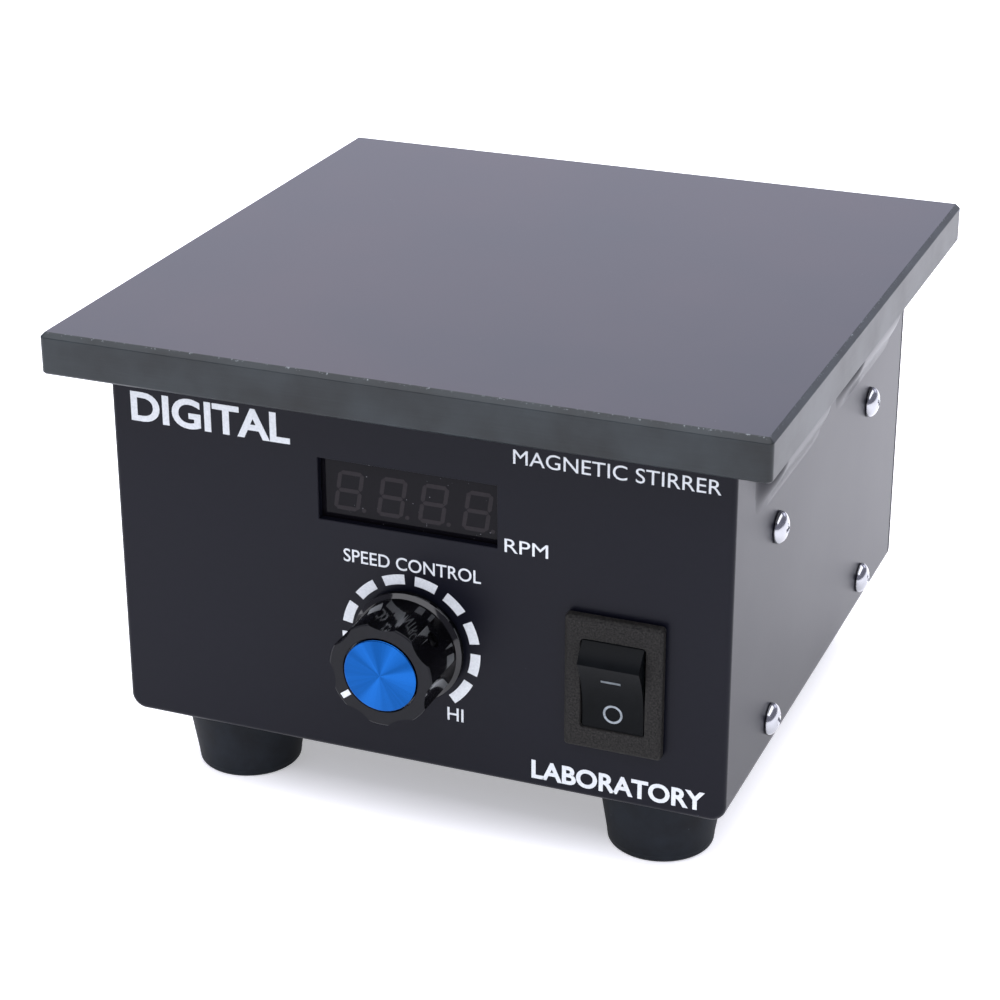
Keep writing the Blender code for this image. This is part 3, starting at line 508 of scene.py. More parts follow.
def circuitLaminate():
    # glass-epoxy board under green solder mask, with the copper showing through as paler lines
    material, tree, shader, place = newMaterial("circuitLaminate", IOR=1.5, Roughness=0.35)
    tracks = addNode(tree, "ShaderNodeTexBrick", {"Scale": perMetre(board["tracks"]), "Mortar Size": 0.06},
                     {"Vector": place})
    body = mixColours(tree, tracks.outputs["Fac"], board["mask"], board["trace"])
    pads = specksOver(tree, place, board)
    tree.links.new(mixColours(tree, pads, body, board["pad"]), shader.inputs["Base Color"])
    addBump(tree, shader, tracks.outputs["Fac"], board["traceDepth"])
    return material


caseFinish = powderCoatedSteel()
plateFinish = slatePaintedSteel()
edgeFinish = blackenedSteelEdge()
rubberFinish = mouldedRubber()
chrome, zinc, nickel, copper = (platedMetal(name) for name in metalLooks)
plastics = {name: mouldedPlastic(name) for name in plasticLooks}
lensFinish = smokedAcrylic()
capFinish = spunAnodisedAluminium()
boardFinish = circuitLaminate()
print("materials ready")


plate = {"corner": 1.2, "chamfer": 1.05, "lower": 0.5, "soft": 0.18, "screwHole": 2.3, "holeDepth": 6.7}


def buildPlate():
    piece = addBox("stirring_plate", plateLow, plateHigh)
    pickEdges(piece, lambda a, b: abs(a.z - b.z) > 1)
    bevelPicked(plate["corner"], 4)
    pickEdges(piece, lambda a, b: min(a.z, b.z) > plateHigh.z - closeTo)
    bevelPicked(plate["chamfer"], 1)
    pickEdges(piece, lambda a, b: max(a.z, b.z) < plateLow.z + closeTo)
    bevelPicked(plate["lower"], 1)
    softenEdges(piece, plate["soft"], 3, 25)
    holes = []
    for number in range(1, 5):
        spot = nodeMiddle(f"plate_screw_{number}")
        holes.append(addRod("hole", plate["screwHole"], plateLow.z - 2, plateLow.z + plate["holeDepth"],
                            centre=spot.xy, steps=32))
    cutAway(piece, joinAll("holes", holes))
    finishPiece(piece, "base", [edgeFinish, plateFinish], ["top_plate"], 30, True)
    for face in piece.data.polygons:
        face.material_index = 1 if face.normal.z > 0.95 else 0


buildPlate()
print("plate ready")


case = {"bend": 3.5, "frontRound": 1.2, "wall": 1.6, "sideFlange": 13.6, "bottomFlange": 14,
        "window": (40.5, 14.0), "windowAt": (-1.05, 61.7), "windowSoft": 0.22, "bushing": 4.7,
        "switchCut": (9.5, 14.4), "screwHole": 2.3, "rearHole": 1.8, "cut": 3}
louvre = {"inset": 38.7, "length": 52, "bottom": 63, "rise": 12, "out": 4.2, "end": 10, "skin": 1.2,
          "fullness": 1.6, "sink": 0.03, "slot": (23.5, 4.5), "cut": (4, 6)}

knobAt = nodeMiddle("knob_cap")
switchAt = nodeMiddle("switch_housing")
screwNodes = [f"side_screw_{side}_{number}" for side in ("left", "right") for number in range(1, 5)]
footNodes = [f"foot_screw_{end}_{side}" for end in ("front", "rear") for side in ("left", "right")]
rearNodes = [f"rear_screw_{number}" for number in range(1, 5)]


def buildLouvre(side, y):
    # a sheet pressed outwards below a slit: flat at its foot and ends, fullest at the open lip
    deselectAll()
    bpy.ops.mesh.primitive_grid_add(x_subdivisions=72, y_subdivisions=24, size=1)
    sheet = nameActive("louvre")
    for vertex in sheet.data.vertices:
        along, up = vertex.co.x * 2, vertex.co.y + 0.5
        fromEnd = min(1, (1 - abs(along)) * louvre["length"] / 2 / louvre["end"])
        ends = fromEnd * fromEnd * (3 - 2 * fromEnd)
        rise = math.sin(up * math.pi / 2) ** louvre["fullness"]
        x = side * (halfCase + louvre["out"] * ends * rise - louvre["sink"])
        vertex.co = Vector((x, y + along * louvre["length"] / 2,
                            caseBottom + louvre["bottom"] + up * louvre["rise"])) / 1000
    makeActive(sheet)
    bpy.ops.object.mode_set(mode="EDIT")
    bpy.ops.mesh.select_all(action="SELECT")
    bpy.ops.mesh.normals_make_consistent(inside=False)
    shape = bmesh.from_edit_mesh(sheet.data)
    shape.faces.ensure_lookup_table()
    middle = shape.faces[len(shape.faces) // 2]
    if middle.normal.x * side < 0:
        bpy.ops.mesh.flip_normals()
    bpy.ops.object.mode_set(mode="OBJECT")
    wall = sheet.modifiers.new("skin", "SOLIDIFY")
    wall.thickness = louvre["skin"] / 1000
    wall.offset = -1
    applyLast(sheet)
    return sheet


def buildCase():
    high = Vector((halfCase, shellHigh.y, shellHigh.z))
    piece = addBox("case_body", (-halfCase, frontY, caseBottom), high)
    pickEdges(piece, lambda a, b: abs(a.y - b.y) > 1 and max(a.z, b.z) < caseBottom + closeTo)
    bevelPicked(case["bend"], 10)
    pickEdges(piece, lambda a, b: max(a.y, b.y) < frontY + closeTo and min(a.z, b.z) < shellHigh.z - closeTo)
    bevelPicked(case["frontRound"], 5)
    pickFaces(piece, lambda centre, normal: normal.z > 0.9)
    bpy.ops.mesh.delete(type="FACE")
    bpy.ops.object.mode_set(mode="OBJECT")
    wall = piece.modifiers.new("wall", "SOLIDIFY")
    wall.thickness = case["wall"] / 1000
    wall.offset = -1
    wall.use_even_offset = True
    applyLast(piece)
    openHalf = halfCase - case["sideFlange"]
    cutAway(piece, addBox("mouth", (-openHalf, shellHigh.y - 4, caseBottom + case["bottomFlange"]),
                          (openHalf, shellHigh.y + 4, shellHigh.z + 5)))

    slotHalf, slotFoot = louvre["slot"]
    slotTop = caseBottom + louvre["bottom"] + louvre["rise"]
    slotBottom = slotTop - louvre["rise"] + slotFoot
    inward, outward = louvre["cut"]
    for side in (-1, 1):
        near, far = sorted((side * (halfCase - inward), side * (halfCase + outward)))
        for y in (frontY + louvre["inset"], rearY - louvre["inset"]):
            cutAway(piece, addBox("slot", (near, y - slotHalf, slotBottom), (far, y + slotHalf, slotTop)))
            combine(piece, buildLouvre(side, y), "UNION")

    halfX, halfZ = case["window"][0] / 2, case["window"][1] / 2
    cut = case["cut"]
    cutAway(piece, addBox("window", (-halfX, -halfZ, -cut), (halfX, halfZ, cut), onFront(*case["windowAt"])))
    cutAway(piece, addRod("bushing", case["bushing"], -cut, cut,
                          placeAt(knobAt.x, frontY, knobAt.z, facingFront)))
    x, z = case["switchCut"]
    cutAway(piece, addBox("switchCut", (-x, -z, -cut), (x, z, cut),
                          placeAt(switchAt.x, frontY, switchAt.z, facingFront)))
    drills = []
    for node in screwNodes:
        spot = nodeMiddle(node)
        place = placeAt(math.copysign(halfCase, spot.x), spot.y, spot.z, facingRight)
        drills.append(addRod("drill", case["screwHole"], -cut, cut, place, steps=32))
    for node in footNodes:
        drills.append(addRod("drill", case["screwHole"], caseBottom - cut, caseBottom + cut + 1,
                             centre=nodeMiddle(node).xy, steps=32))
    for node in rearNodes:
        spot = nodeMiddle(node)
        drills.append(addRod("drill", case["rearHole"], -cut - 1, cut + 1,
                             placeAt(spot.x, shellHigh.y, spot.z, facingRear), steps=32))
    cutAway(piece, joinAll("drills", drills))

    left, right = case["windowAt"][0] - halfX, case["windowAt"][0] + halfX
    low, top = (caseBottom + case["windowAt"][1] + side * halfZ for side in (-1, 1))

    def windowEdge(a, b):
        inside = all(left - closeTo < end.x < right + closeTo and low - closeTo < end.z < top + closeTo
                     for end in (a, b))
        return inside and max(a.y, b.y) < frontY + closeTo

    pickEdges(piece, windowEdge)
    bevelPicked(case["windowSoft"], 3)
    finishPiece(piece, "base", [caseFinish], ["case_shell"], 32, True)


buildCase()
print("case ready")


foot = {"top": 14.2, "topRound": 0.5, "bottom": 11.7, "corner": 0.9, "hole": 2.3, "recess": 6.2, "seat": 9.3}


def buildFeet():
    top = nodeBox("rubber_foot_front_left")[1].z
    shoulder, bottom, corner = foot["topRound"], foot["bottom"], foot["corner"]
    profile = [(foot["hole"], top), (foot["top"] - shoulder, top)]
    profile += roundedCorner(foot["top"] - shoulder, top - shoulder, shoulder, 90, 0, 4)
    profile += [(bottom + 0.06, 1.75), (bottom + 0.1, 1.6), (bottom, 1.3)]        # the mould's parting line
    profile += roundedCorner(bottom - corner, corner, corner, 5, -90, 6)
    profile += [(foot["recess"] + 0.4, 0), (foot["recess"], 0.4), (foot["recess"], foot["seat"]),
                (foot["hole"], foot["seat"]), (foot["hole"], top)]
    first = turnProfile("foot", profile)
    for node in ("front_left", "front_right", "rear_left", "rear_right"):
        spot = nodeMiddle(f"rubber_foot_{node}")
        piece = copyPiece(first, f"foot_{node}", placeAt(spot.x, spot.y, 0))
        finishPiece(piece, "base", [rubberFinish], [f"rubber_foot_{node}"], 30)
    bpy.data.objects.remove(first, do_unlink=True)


buildFeet()
print("feet ready")


screwSizes = {"side": {"head": 3.6, "rise": 2.4, "shank": 2.0, "length": 8.0, "bar": 1.75, "slot": 0.42},
              "rear": {"head": 2.9, "rise": 1.9, "shank": 1.5, "length": 7.0, "bar": 1.4, "slot": 0.34}}
screwRim, screwGap = 0.25, 0.05        # height of the head's upright edge, and its gap to the sheet


def buildScrew(size):
    # truss head, nearly a spherical cap, with a cross recess that narrows as it goes down
    head, rise = size["head"], size["rise"]
    profile = []
    for step in range(13):
        angle = math.radians(90 * step / 12)
        profile.append((head * math.sin(angle), screwRim + (rise - screwRim) * math.cos(angle)))
    shank, end = size["shank"], -size["length"]
    profile += [(head, 0.12), (head - 0.12, 0.0), (shank, 0.0), (shank, end + 0.5), (shank - 0.5, end),
                (0, end)]
    profile[0] = (0, rise)
    screw = turnProfile("screw", profile, steps=56)
    for x, y in ((size["bar"], size["slot"]), (size["slot"], size["bar"])):
        bar = addBox("bar", (-x, -y, rise * 0.35), (x, y, rise + 1))
        pickFaces(bar, lambda centre, normal: normal.z < -0.9)
        bpy.ops.transform.resize(value=(0.45 if x > y else 0.7, 0.45 if y > x else 0.7, 1))
        bpy.ops.object.mode_set(mode="OBJECT")
        cutAway(screw, bar)
    return softenEdges(screw, 0.06, 2, 40)


def buildScrews():
    for kind, nodes in (("side", screwNodes), ("rear", rearNodes)):
        first = buildScrew(screwSizes[kind])
        for node in nodes:
            spot = nodeMiddle(node)
            if kind == "side":
                turn = facingRight if spot.x > 0 else facingLeft
                place = placeAt(math.copysign(halfCase + screwGap, spot.x), spot.y, spot.z, turn)
            else:
                place = placeAt(spot.x, rearY + screwGap, spot.z, facingRear)
            place = place @ Matrix.Rotation(chance.uniform(0, math.pi / 2), 4, "Z")
            piece = copyPiece(first, node.replace("screw", "panel_screw"), place)
            finishPiece(piece, "base", [chrome], [node], 30)
        bpy.data.objects.remove(first, do_unlink=True)


buildScrews()
print("screws ready")


digits = {"left": (-18.8, -8.9, 0.5, 10.4), "foot": 56.7, "height": 9.1, "width": 6.0, "bar": 0.95,
          "slant": 9, "depth": 0.03, "gap": 0.22, "dot": 0.5, "dotOut": 1.0, "colour": "#211e21",
          "light": "#2a2729", "grain": 0.7}


def buildDigits():
    lensFront = nodeBox("display_window")[0].y
    h, w, bar = digits["height"], digits["width"], digits["bar"]
    level = [(w / 2, h - bar / 2), (w / 2, h / 2), (w / 2, bar / 2)]
    upright = [(x, z) for x in (bar / 2, w - bar / 2) for z in (h * 0.75 - bar / 8, h * 0.25 + bar / 8)]
    bars = []
    for spots, long, turn in ((level, w - bar, 0), (upright, h / 2 - bar / 2, 90)):
        for x, z in spots:
            half = long / 2 - digits["gap"] / 2
            segment = addBox("segment", (-half, -bar / 2, 0), (half, bar / 2, digits["depth"]))
            pickEdges(segment, lambda a, b: abs(a.z - b.z) > 0.001 and abs(a.x - b.x) < 0.001)
            bevelPicked(bar * 0.42, 1)
            settle(segment, placeAt(x, z, 0, Matrix.Rotation(math.radians(turn), 4, "Z")))
            bars.append(segment)
    dot = addRod("dot", digits["dot"], 0, digits["depth"], centre=(w + digits["dotOut"], digits["dot"]),
                 steps=24)
    slant = Matrix.Identity(4)
    slant[0][1] = math.tan(math.radians(digits["slant"]))
    figure = settle(joinAll("figure", bars + [dot]), slant)
    for number, left in enumerate(digits["left"], 1):
        place = placeAt(left, lensFront - 0.005, caseBottom + digits["foot"], facingFront)
        piece = copyPiece(figure, f"digit_{number}", place)
        finishPiece(piece, "base", [digitFinish], (), 30)
    bpy.data.objects.remove(figure, do_unlink=True)


def unlitSegment():
    # diffuser bar behind smoked sheet, unlit: a slightly warmer and paler black
    material, tree, shader, place = newMaterial("unlitSegment", IOR=1.49, Specular_IOR_Level=0.08)
    shade = mottle(tree, place, digits["grain"], 2)
    tree.links.new(mixColours(tree, shade, digits["colour"], digits["light"]), shader.inputs["Base Color"])
    tree.links.new(rescale(tree, shade, 0.3, 0.7, 0.10, 0.2), shader.inputs["Roughness"])
    return material


digitFinish = unlitSegment()
buildDigits()
print("display ready")


printing = {"thick": 0.03, "lift": 0.012}
labels = {
    "title": {"text": "DIGITAL", "left": -65.2, "right": -27.5, "foot": 70.6, "height": 6.9, "bold": 0.028},
    "descriptor": {"text": "MAGNETIC STIRRER", "left": 22.8, "right": 66.9, "foot": 74.2, "height": 3.2,
                   "bold": 0.0},
    "unit": {"text": "RPM", "left": 20.9, "right": 30.5, "foot": 54.2, "height": 3.0, "bold": 0.0},
    "knob": {"text": "SPEED CONTROL", "left": -15.8, "right": 15.6, "foot": 45.8, "height": 3.0,
             "bold": 0.006},
    "most": {"text": "HI", "left": 7.7, "right": 11.4, "foot": 12.3, "height": 3.1, "bold": 0.006},
    "least": {"text": "LO", "left": -13.0, "right": -8.4, "foot": 12.3, "height": 3.1, "bold": 0.006},
    "maker": {"text": "LABORATORY", "left": 27.0, "right": 65.6, "foot": 2.1, "height": 4.5, "bold": 0.030},
}


def printLabel(key):
    label = labels[key]
    deselectAll()
    bpy.ops.object.text_add()
    text = bpy.context.object
    text.data.body = label["text"]
    text.data.offset = label["bold"]
    text.data.resolution_u = 6
    text.data.extrude = 0.5
    bpy.ops.object.convert(target="MESH")
    piece = nameActive(f"print_{key}")
    spots = [vertex.co for vertex in piece.data.vertices]
    low = [min(spot[i] for spot in spots) for i in range(3)]
    high = [max(spot[i] for spot in spots) for i in range(3)]
    wide = (label["right"] - label["left"]) / (high[0] - low[0])
    tall = label["height"] / (high[1] - low[1])
    scale = Matrix.Diagonal((wide / 1000, tall / 1000, printing["thick"] / 1000, 1))
    settle(piece, scale @ Matrix.Translation((-low[0], -low[1], -low[2])))
    settle(piece, onFront(label["left"], label["foot"]) @ placeAt(0, 0, printing["lift"]))
    makeActive(piece)
    bpy.ops.object.mode_set(mode="EDIT")
    bpy.ops.mesh.select_all(action="SELECT")
    bpy.ops.mesh.remove_doubles(threshold=0.000001)
    bpy.ops.object.mode_set(mode="OBJECT")
    finishPiece(piece, "base", [plastics["whiteScreenInk"]], (), 20)


scale = {"inner": 13.75, "outer": 16.0, "dash": 19.3, "turns": (14.15, 42.45, 70.75, 99.05),
         "last": (117.2, 140.8)}


def addDash(length, turn):
    # a radial line swept through the dash's length, then given the ink's thickness
    deselectAll()
    bpy.ops.mesh.primitive_plane_add(size=0.001)
    dash = nameActive("dash")
    bpy.ops.object.mode_set(mode="EDIT")
    bpy.ops.mesh.select_mode(type="VERT")
    bpy.ops.mesh.select_all(action="SELECT")
    bpy.ops.mesh.merge(type="CENTER")
    bpy.ops.transform.translate(value=(0, scale["inner"] / 1000, 0))
    reach = (scale["outer"] - scale["inner"]) / 1000
    bpy.ops.mesh.extrude_region_move(TRANSFORM_OT_translate={"value": (0, reach, 0)})
    bpy.ops.mesh.select_all(action="SELECT")
    bpy.ops.mesh.spin(steps=10, angle=math.radians(length), center=(0, 0, 0), axis=(0, 0, 1))
    bpy.ops.mesh.select_all(action="SELECT")
    bpy.ops.mesh.extrude_region_move(TRANSFORM_OT_translate={"value": (0, 0, printing["thick"] / 1000)})
    bpy.ops.mesh.select_all(action="SELECT")
    bpy.ops.mesh.normals_make_consistent(inside=False)
    bpy.ops.object.mode_set(mode="OBJECT")
    xs = [vertex.co.x for vertex in dash.data.vertices]
    middle = math.radians(length / 2) * (1 if sum(xs) > 0 else -1)
    return settle(dash, Matrix.Rotation(middle - math.radians(turn), 4, "Z"))


def printScale():
    dashes = [addDash(scale["dash"], side * turn) for turn in scale["turns"] for side in (-1, 1)]
    first, last = scale["last"]
    dashes += [addDash(last - first, side * (first + last) / 2) for side in (-1, 1)]
    piece = joinAll("print_scale", dashes)
    settle(piece, placeAt(knobAt.x, frontY - printing["lift"], knobAt.z, facingFront))
    finishPiece(piece, "base", [plastics["whiteScreenInk"]], (), 20)


for key in labels:
    printLabel(key)
printScale()
print("printing ready")


knob = {"face": 15.9, "faceRound": 0.45, "soft": 0.22, "grip": 11.7, "shoulder": 3.1, "skirt": 12.6,
        "skirtTop": 2.2, "foot": 0.6, "pocket": 8.45, "pocketDepth": 1.1, "bore": 3.3, "hollow": 9.0,
        "hollowTop": 4.0, "boreTop": 13.4, "flutes": 7, "fluteDepth": 1.15, "fluteRadius": 7.6,
        "pointerTurn": -126.0, "pointer": (8.75, 11.0), "pointerWidth": 1.3, "screwHole": 1.7,
        "screwAt": 8.0}
disc = {"radius": 8.2, "face": 16.2, "corner": 0.3, "sunk": 0.85}


def buildKnob():
    place = placeAt(knobAt.x, frontY, knobAt.z, facingFront)
    place = place @ Matrix.Rotation(math.radians(-knob["pointerTurn"]), 4, "Z")
    face, grip, skirt = knob["face"], knob["grip"], knob["skirt"]
    profile = [(0, face - knob["pocketDepth"]), (knob["pocket"], face - knob["pocketDepth"]),
               (knob["pocket"], face - 0.1), (knob["pocket"] + 0.1, face)]
    soft = knob["faceRound"]
    profile += roundedCorner(grip - soft, face - soft, soft, 90, 0, 4)
    profile += [(grip, knob["shoulder"]), (grip + 0.06, knob["shoulder"] - 0.15),
                (skirt - 0.08, knob["skirtTop"] + 0.1)]
    profile += [(skirt, knob["skirtTop"]), (skirt, knob["foot"] + 0.3), (skirt - 0.3, knob["foot"]),
                (knob["hollow"], knob["foot"]), (knob["hollow"], knob["hollowTop"]),
                (knob["bore"], knob["hollowTop"]), (knob["bore"], knob["boreTop"]), (0, knob["boreTop"])]
    body = turnProfile("knob_grip", profile, steps=168)
    cutters = []
    reach = grip - knob["fluteDepth"] + knob["fluteRadius"]
    for index in range(knob["flutes"]):
        angle = math.radians(90 + 360 * (index + 0.5) / knob["flutes"])
        cutters.append(addRod("flute", knob["fluteRadius"], knob["shoulder"], 20,
                              centre=(reach * math.cos(angle), reach * math.sin(angle)), steps=96))
    cutAway(body, joinAll("flutes", cutters))
    across = placeAt(0, 0, knob["screwAt"], facingFront)
    cutAway(body, addRod("screwHole", knob["screwHole"], 1.5, 14, across, steps=40))
    softenEdges(body, knob["soft"], 3, 28)
    settle(body, place)
    finishPiece(body, "knob", [plastics["polishedPhenolic"], plastics["facedPhenolic"]],
                ["knob_body"], 32, True)
    edge = frontY - face + 0.3
    for polygon in body.data.polygons:
        if polygon.normal.y < -0.3 and polygon.center.y * 1000 < edge:
            polygon.material_index = 1

    near, far = knob["pointer"]
    half = knob["pointerWidth"] / 2
    pointer = addBox("knob_pointer", (-half, near, face - 0.2), (half, far, face + 0.03))
    softenEdges(pointer, 0.08, 2)
    settle(pointer, place)
    finishPiece(pointer, "knob", [plastics["whiteScreenInk"]], (), 30)

    radius, top, corner = disc["radius"], disc["face"], disc["corner"]
    under = face - disc["sunk"]
    profile = [(0, top)] + roundedCorner(radius - corner, top - corner, corner, 90, 0, 4)
    profile += [(radius, under), (0, under)]
    finishPiece(turnProfile("knob_disc", profile, place), "knob", [capFinish],
                ["knob_cap"], 30)


buildKnob()
print("knob ready")


switch = {"bezel": (10.7, 15.2), "edge": 2.0, "rim": 2.5, "corner": 0.8, "window": (7.05, 10.25),
          "well": (7.1, 13.5), "lip": 1.2, "floor": -19.8, "body": (9.2, 14.1), "bodyDepth": 24,
          "pivot": 6.3, "radius": 13.2, "half": 6.75, "cornerTurn": 38.6, "sag": 1.4, "tilt": 12.6,
          "back": 5.2, "soft": 0.25, "windowCorner": 0.7}


def buildSwitchFrame():
    place = placeAt(switchAt.x, frontY, switchAt.z, facingFront)
    bx, by = switch["bezel"]
    piece = addBox("switch_frame", (-bx, -by, 0.25), (bx, by, switch["edge"]))
    pickEdges(piece, lambda a, b: abs(a.z - b.z) > 1)
    bevelPicked(switch["corner"], 5)
    pickFaces(piece, lambda centre, normal: normal.z > 0.9)
    bpy.ops.mesh.inset(thickness=0.0005, depth=0.00035)
    bpy.ops.mesh.inset(thickness=0.0002, depth=(switch["rim"] - switch["edge"] - 0.35) / 1000)
    bpy.ops.object.mode_set(mode="OBJECT")
    sx, sy = switch["body"]
    trunk = addBox("trunk", (-sx, -sy, -switch["bodyDepth"]), (sx, sy, 1.0))
    combine(piece, trunk, "UNION")
    wx, wy = switch["window"]
    opening = addBox("opening", (-wx, -wy, -switch["lip"]), (wx, wy, 5))
    pickEdges(opening, lambda a, b: abs(a.z - b.z) > 1)
    bevelPicked(switch["windowCorner"], 5)
    cutAway(piece, opening)
    dx, dy = switch["well"]
    cutAway(piece, addBox("well", (-dx, -dy, switch["floor"]), (dx, dy, -switch["lip"] + 0.01)))
    softenEdges(piece, switch["soft"], 3, 40)
    settle(piece, place)
    finishPiece(piece, "base", [plastics["sparkErodedNylon"]], ["switch_housing"], 35,
                True)


def buildRocker():
    # a drum cut back to a hollow front, so each end stands proud of the middle
    radius, half = switch["radius"], switch["half"]
    turn = math.radians(switch["cornerTurn"])
    rocker = addRod("switch_rocker_cap", radius, -half, half, facingRight, steps=160)
    chord, halfChord = radius * math.cos(turn), radius * math.sin(turn)
    hollow = (halfChord ** 2 + switch["sag"] ** 2) / (2 * switch["sag"])
    centre = chord - switch["sag"] + hollow
    cutAway(rocker, addRod("hollow", hollow, -20, 20, placeAt(0, -centre, 0, facingRight), steps=320))
    cutAway(rocker, addBox("back", (-20, -switch["back"], -20), (20, 20, 20)))
    softenEdges(rocker, 0.4, 4, 30)
    pivot = placeAt(switchAt.x, frontY + switch["pivot"], switchAt.z,
                    Matrix.Rotation(math.radians(switch["tilt"]), 4, "X"))
    settle(rocker, pivot)
    finishPiece(rocker, "rocker", [plastics["satinNylon"]], ["switch_rocker"], 35,
                True)
    return rocker


marks = {"barAt": 1.8, "bar": (2.15, 0.28), "ringAt": -6.4, "ring": (1.65, 2.15), "thick": 0.02,
         "lift": 0.02}


def printMarks(rocker):
    long, tall = marks["bar"]
    thick = marks["thick"]
    bar = addBox("bar", (-long, -tall, 0), (long, tall, thick))
    softenEdges(bar, 0.005, 1)
    makeActive(bar)
    bpy.ops.object.mode_set(mode="EDIT")
    bpy.ops.mesh.select_all(action="SELECT")
    bpy.ops.mesh.subdivide(number_cuts=3)
    bpy.ops.object.mode_set(mode="OBJECT")
    settle(bar, placeAt(0, marks["barAt"], 0))
    inner, outer = marks["ring"]
    profile = [(inner, 0), (inner, thick), (outer, thick), (outer, 0), (inner, 0)]
    ring = turnProfile("ring", profile, placeAt(0, marks["ringAt"], 0), 48)
    piece = joinAll("switch_marks", [bar, ring])
    settle(piece, placeAt(switchAt.x, frontY - 8, switchAt.z, facingFront))
    wrap = piece.modifiers.new("wrap", "SHRINKWRAP")
    wrap.target = rocker
    wrap.wrap_method = "PROJECT"
    wrap.use_project_y = True
    wrap.use_positive_direction = True
    wrap.use_negative_direction = False
    wrap.wrap_mode = "ABOVE_SURFACE"
    wrap.offset = marks["lift"] / 1000
    applyLast(piece)
    finishPiece(piece, "rocker", [plastics["greyPadInk"]], (), 30)


buildSwitchFrame()
printMarks(buildRocker())
print("switch ready")


jack = {"pin": 1.05, "pinTop": 1.8, "bore": 3.2, "flange": 7.0, "body": 5.5, "out": 2.3, "deep": 7.5,
        "length": 14}


def buildJack():
    spot = nodeMiddle("power_jack")
    place = placeAt(spot.x, rearY, spot.z, facingRear)
    out, flange, bore = jack["out"], jack["flange"], jack["bore"]
    profile = [(0, jack["pinTop"])] + roundedCorner(jack["pin"] - 0.3, jack["pinTop"] - 0.3, 0.3, 90, 0, 3)
    profile += [(jack["pin"], -jack["deep"]), (bore, -jack["deep"]), (bore, out - 0.4), (bore + 0.4, out)]
    profile += roundedCorner(flange - 0.6, out - 0.6, 0.6, 90, 0, 5)
    profile += [(flange, 0.2), (jack["body"], 0.2), (jack["body"], -jack["length"]), (0, -jack["length"])]
    piece = turnProfile("inlet_socket", profile, place, 72)
    finishPiece(piece, "base", [plastics["satinNylon"], nickel], ["power_jack"], 30)
    for polygon in piece.data.polygons:
        away = math.hypot(polygon.center.x * 1000 - spot.x, polygon.center.z * 1000 - spot.z)
        if away < jack["pin"] + 0.05 and polygon.center.y * 1000 > rearY - jack["deep"] - 0.5:
            polygon.material_index = 1


buildJack()
print("inlet ready")


keptFinishes = {
    caseFinish: ["rear_panel"],
    zinc: [f"plate_screw_{number}" for number in range(1, 5)] + footNodes + [
        "power_jack_nut", "knob_set_screw", "potentiometer_shaft", "potentiometer_nut", "chassis_bridge",
        "motor_bracket", "motor_housing", "motor_screw_1", "motor_screw_2", "motor_shaft"],
    nickel: ["display_spacer_left", "display_spacer_right", "potentiometer"],
    copper: ["switch_terminal_1", "switch_terminal_2"],
    lensFinish: ["display_window"],
    boardFinish: ["display_board", "controller_board"],
    plastics["displayPolystyrene"]: ["display_module"],
    plastics["naturalNylon"]: ["magnet_holder"] + [f"board_standoff_{number}" for number in range(1, 5)],
    plastics["groundFerrite"]: ["drive_magnet_1", "drive_magnet_2"],
    plastics["softPvc"]: ["motor_cable", "display_cable"],
}
for finish, nodes in keptFinishes.items():
    for node in nodes:
        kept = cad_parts[node]
        if kept.material_slots:
            for materialSlot in kept.material_slots:
                materialSlot.material = finish
        else:
            kept.data.materials.append(finish)
print("inner pieces ready")


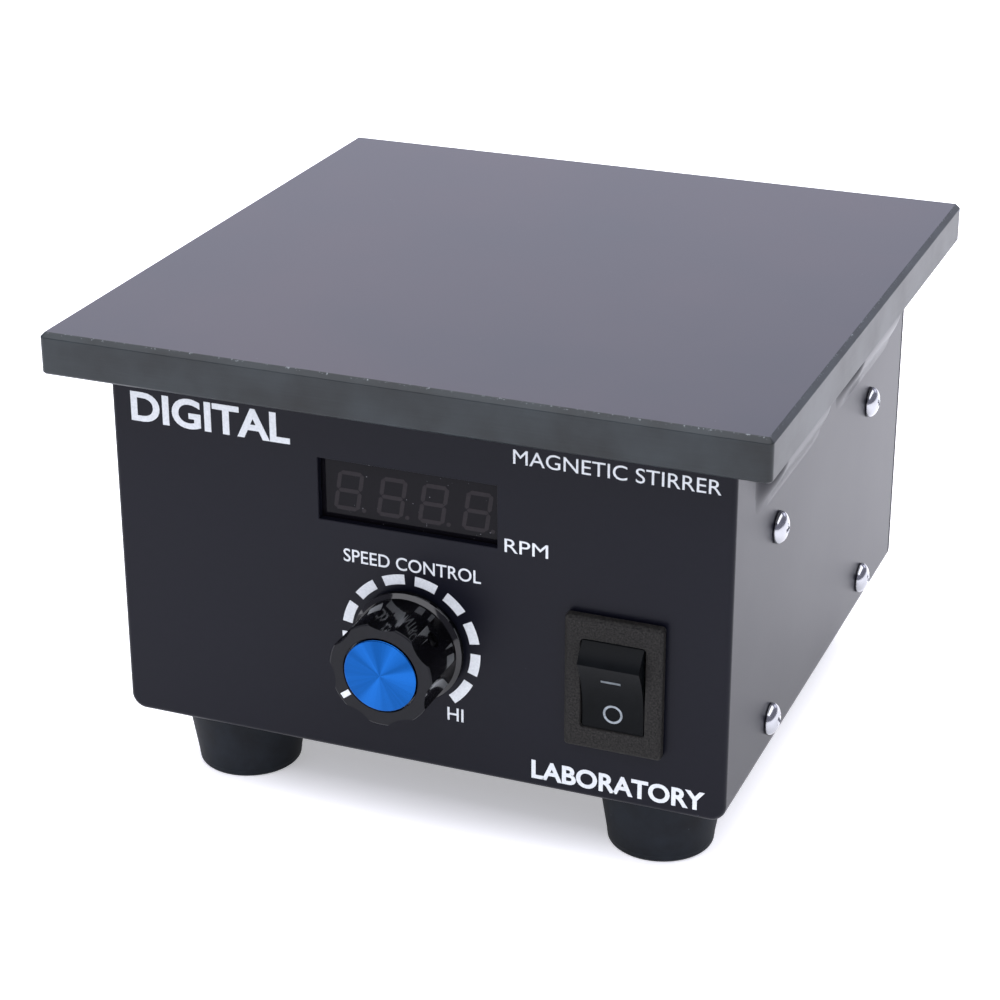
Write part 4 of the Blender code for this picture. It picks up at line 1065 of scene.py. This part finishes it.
# the studio and the camera are in metres and watts
studio = {"floor": "#fafafc", "floorSize": 14, "glow": 0.42, "world": "#e6e6ff", "worldStrength": 0.45}
lamps = {
    "topLight": {"at": (0.0, 0.0, 2.6), "aim": (0, 0, 0), "size": (5.0, 5.0), "power": 262,
                 "tint": "#fafaff"},
    "rearLight": {"at": (-1.2, 2.6, 1.1), "aim": (0, 0, 0.1), "size": (2.8, 1.9), "power": 20,
                  "tint": "#ebebff"},
    "rightLight": {"at": (1.2, 2.4, 0.9), "aim": (0.1, 0, 0.1), "size": (1.0, 0.8), "power": 5,
                   "tint": "#ebebff"},
    "leftLight": {"at": (-0.85, -1.7, 1.55), "aim": (0, -0.1, 0), "size": (0.6, 0.5), "power": 4,
                  "tint": "#f3f4ff"},
}


def buildStudio():
    deselectAll()
    bpy.ops.mesh.primitive_plane_add(size=studio["floorSize"])
    floor = nameActive("floor")
    # matt white sheet on a light table, faintly lit from below
    tint = linear(studio["floor"])
    material = newMaterial("mattSheet", Roughness=0.7, Specular_IOR_Level=0.2, Base_Color=tint,
                           Emission_Color=tint, Emission_Strength=studio["glow"])[0]
    floor.data.materials.append(material)

    world = bpy.data.worlds.new("studio")
    bpy.context.scene.world = world
    world.use_nodes = True
    back = world.node_tree.nodes["Background"]
    back.inputs["Color"].default_value = linear(studio["world"])
    back.inputs["Strength"].default_value = studio["worldStrength"]

    for name, lamp in lamps.items():
        data = bpy.data.lights.new(name, "AREA")
        data.shape = "RECTANGLE"
        data.size, data.size_y = lamp["size"]
        data.energy = lamp["power"]
        data.color = linear(lamp["tint"])[:3]
        item = bpy.data.objects.new(name, data)
        item.location = lamp["at"]
        aim = Vector(lamp["aim"]) - item.location
        item.rotation_euler = aim.to_track_quat("-Z", "Y").to_euler()
        bpy.context.collection.objects.link(item)


view = {"at": (0.20144, -0.51855, 0.29885), "along": (-0.34070, 0.84866, -0.40460), "roll": -0.124,
        "lens": 93.89}


def buildCamera():
    data = bpy.data.cameras.new("camera")
    data.lens = view["lens"]
    data.sensor_width = 36
    data.clip_start = 0.01
    item = bpy.data.objects.new("camera", data)
    item.location = view["at"]
    level = Vector(view["along"]).to_track_quat("-Z", "Y").to_matrix()
    item.rotation_euler = (level @ Matrix.Rotation(math.radians(view["roll"]), 3, "Z")).to_euler()
    bpy.context.collection.objects.link(item)
    bpy.context.scene.camera = item
    bpy.context.scene.view_settings.view_transform = "Standard"


buildStudio()
buildCamera()
print("studio ready")
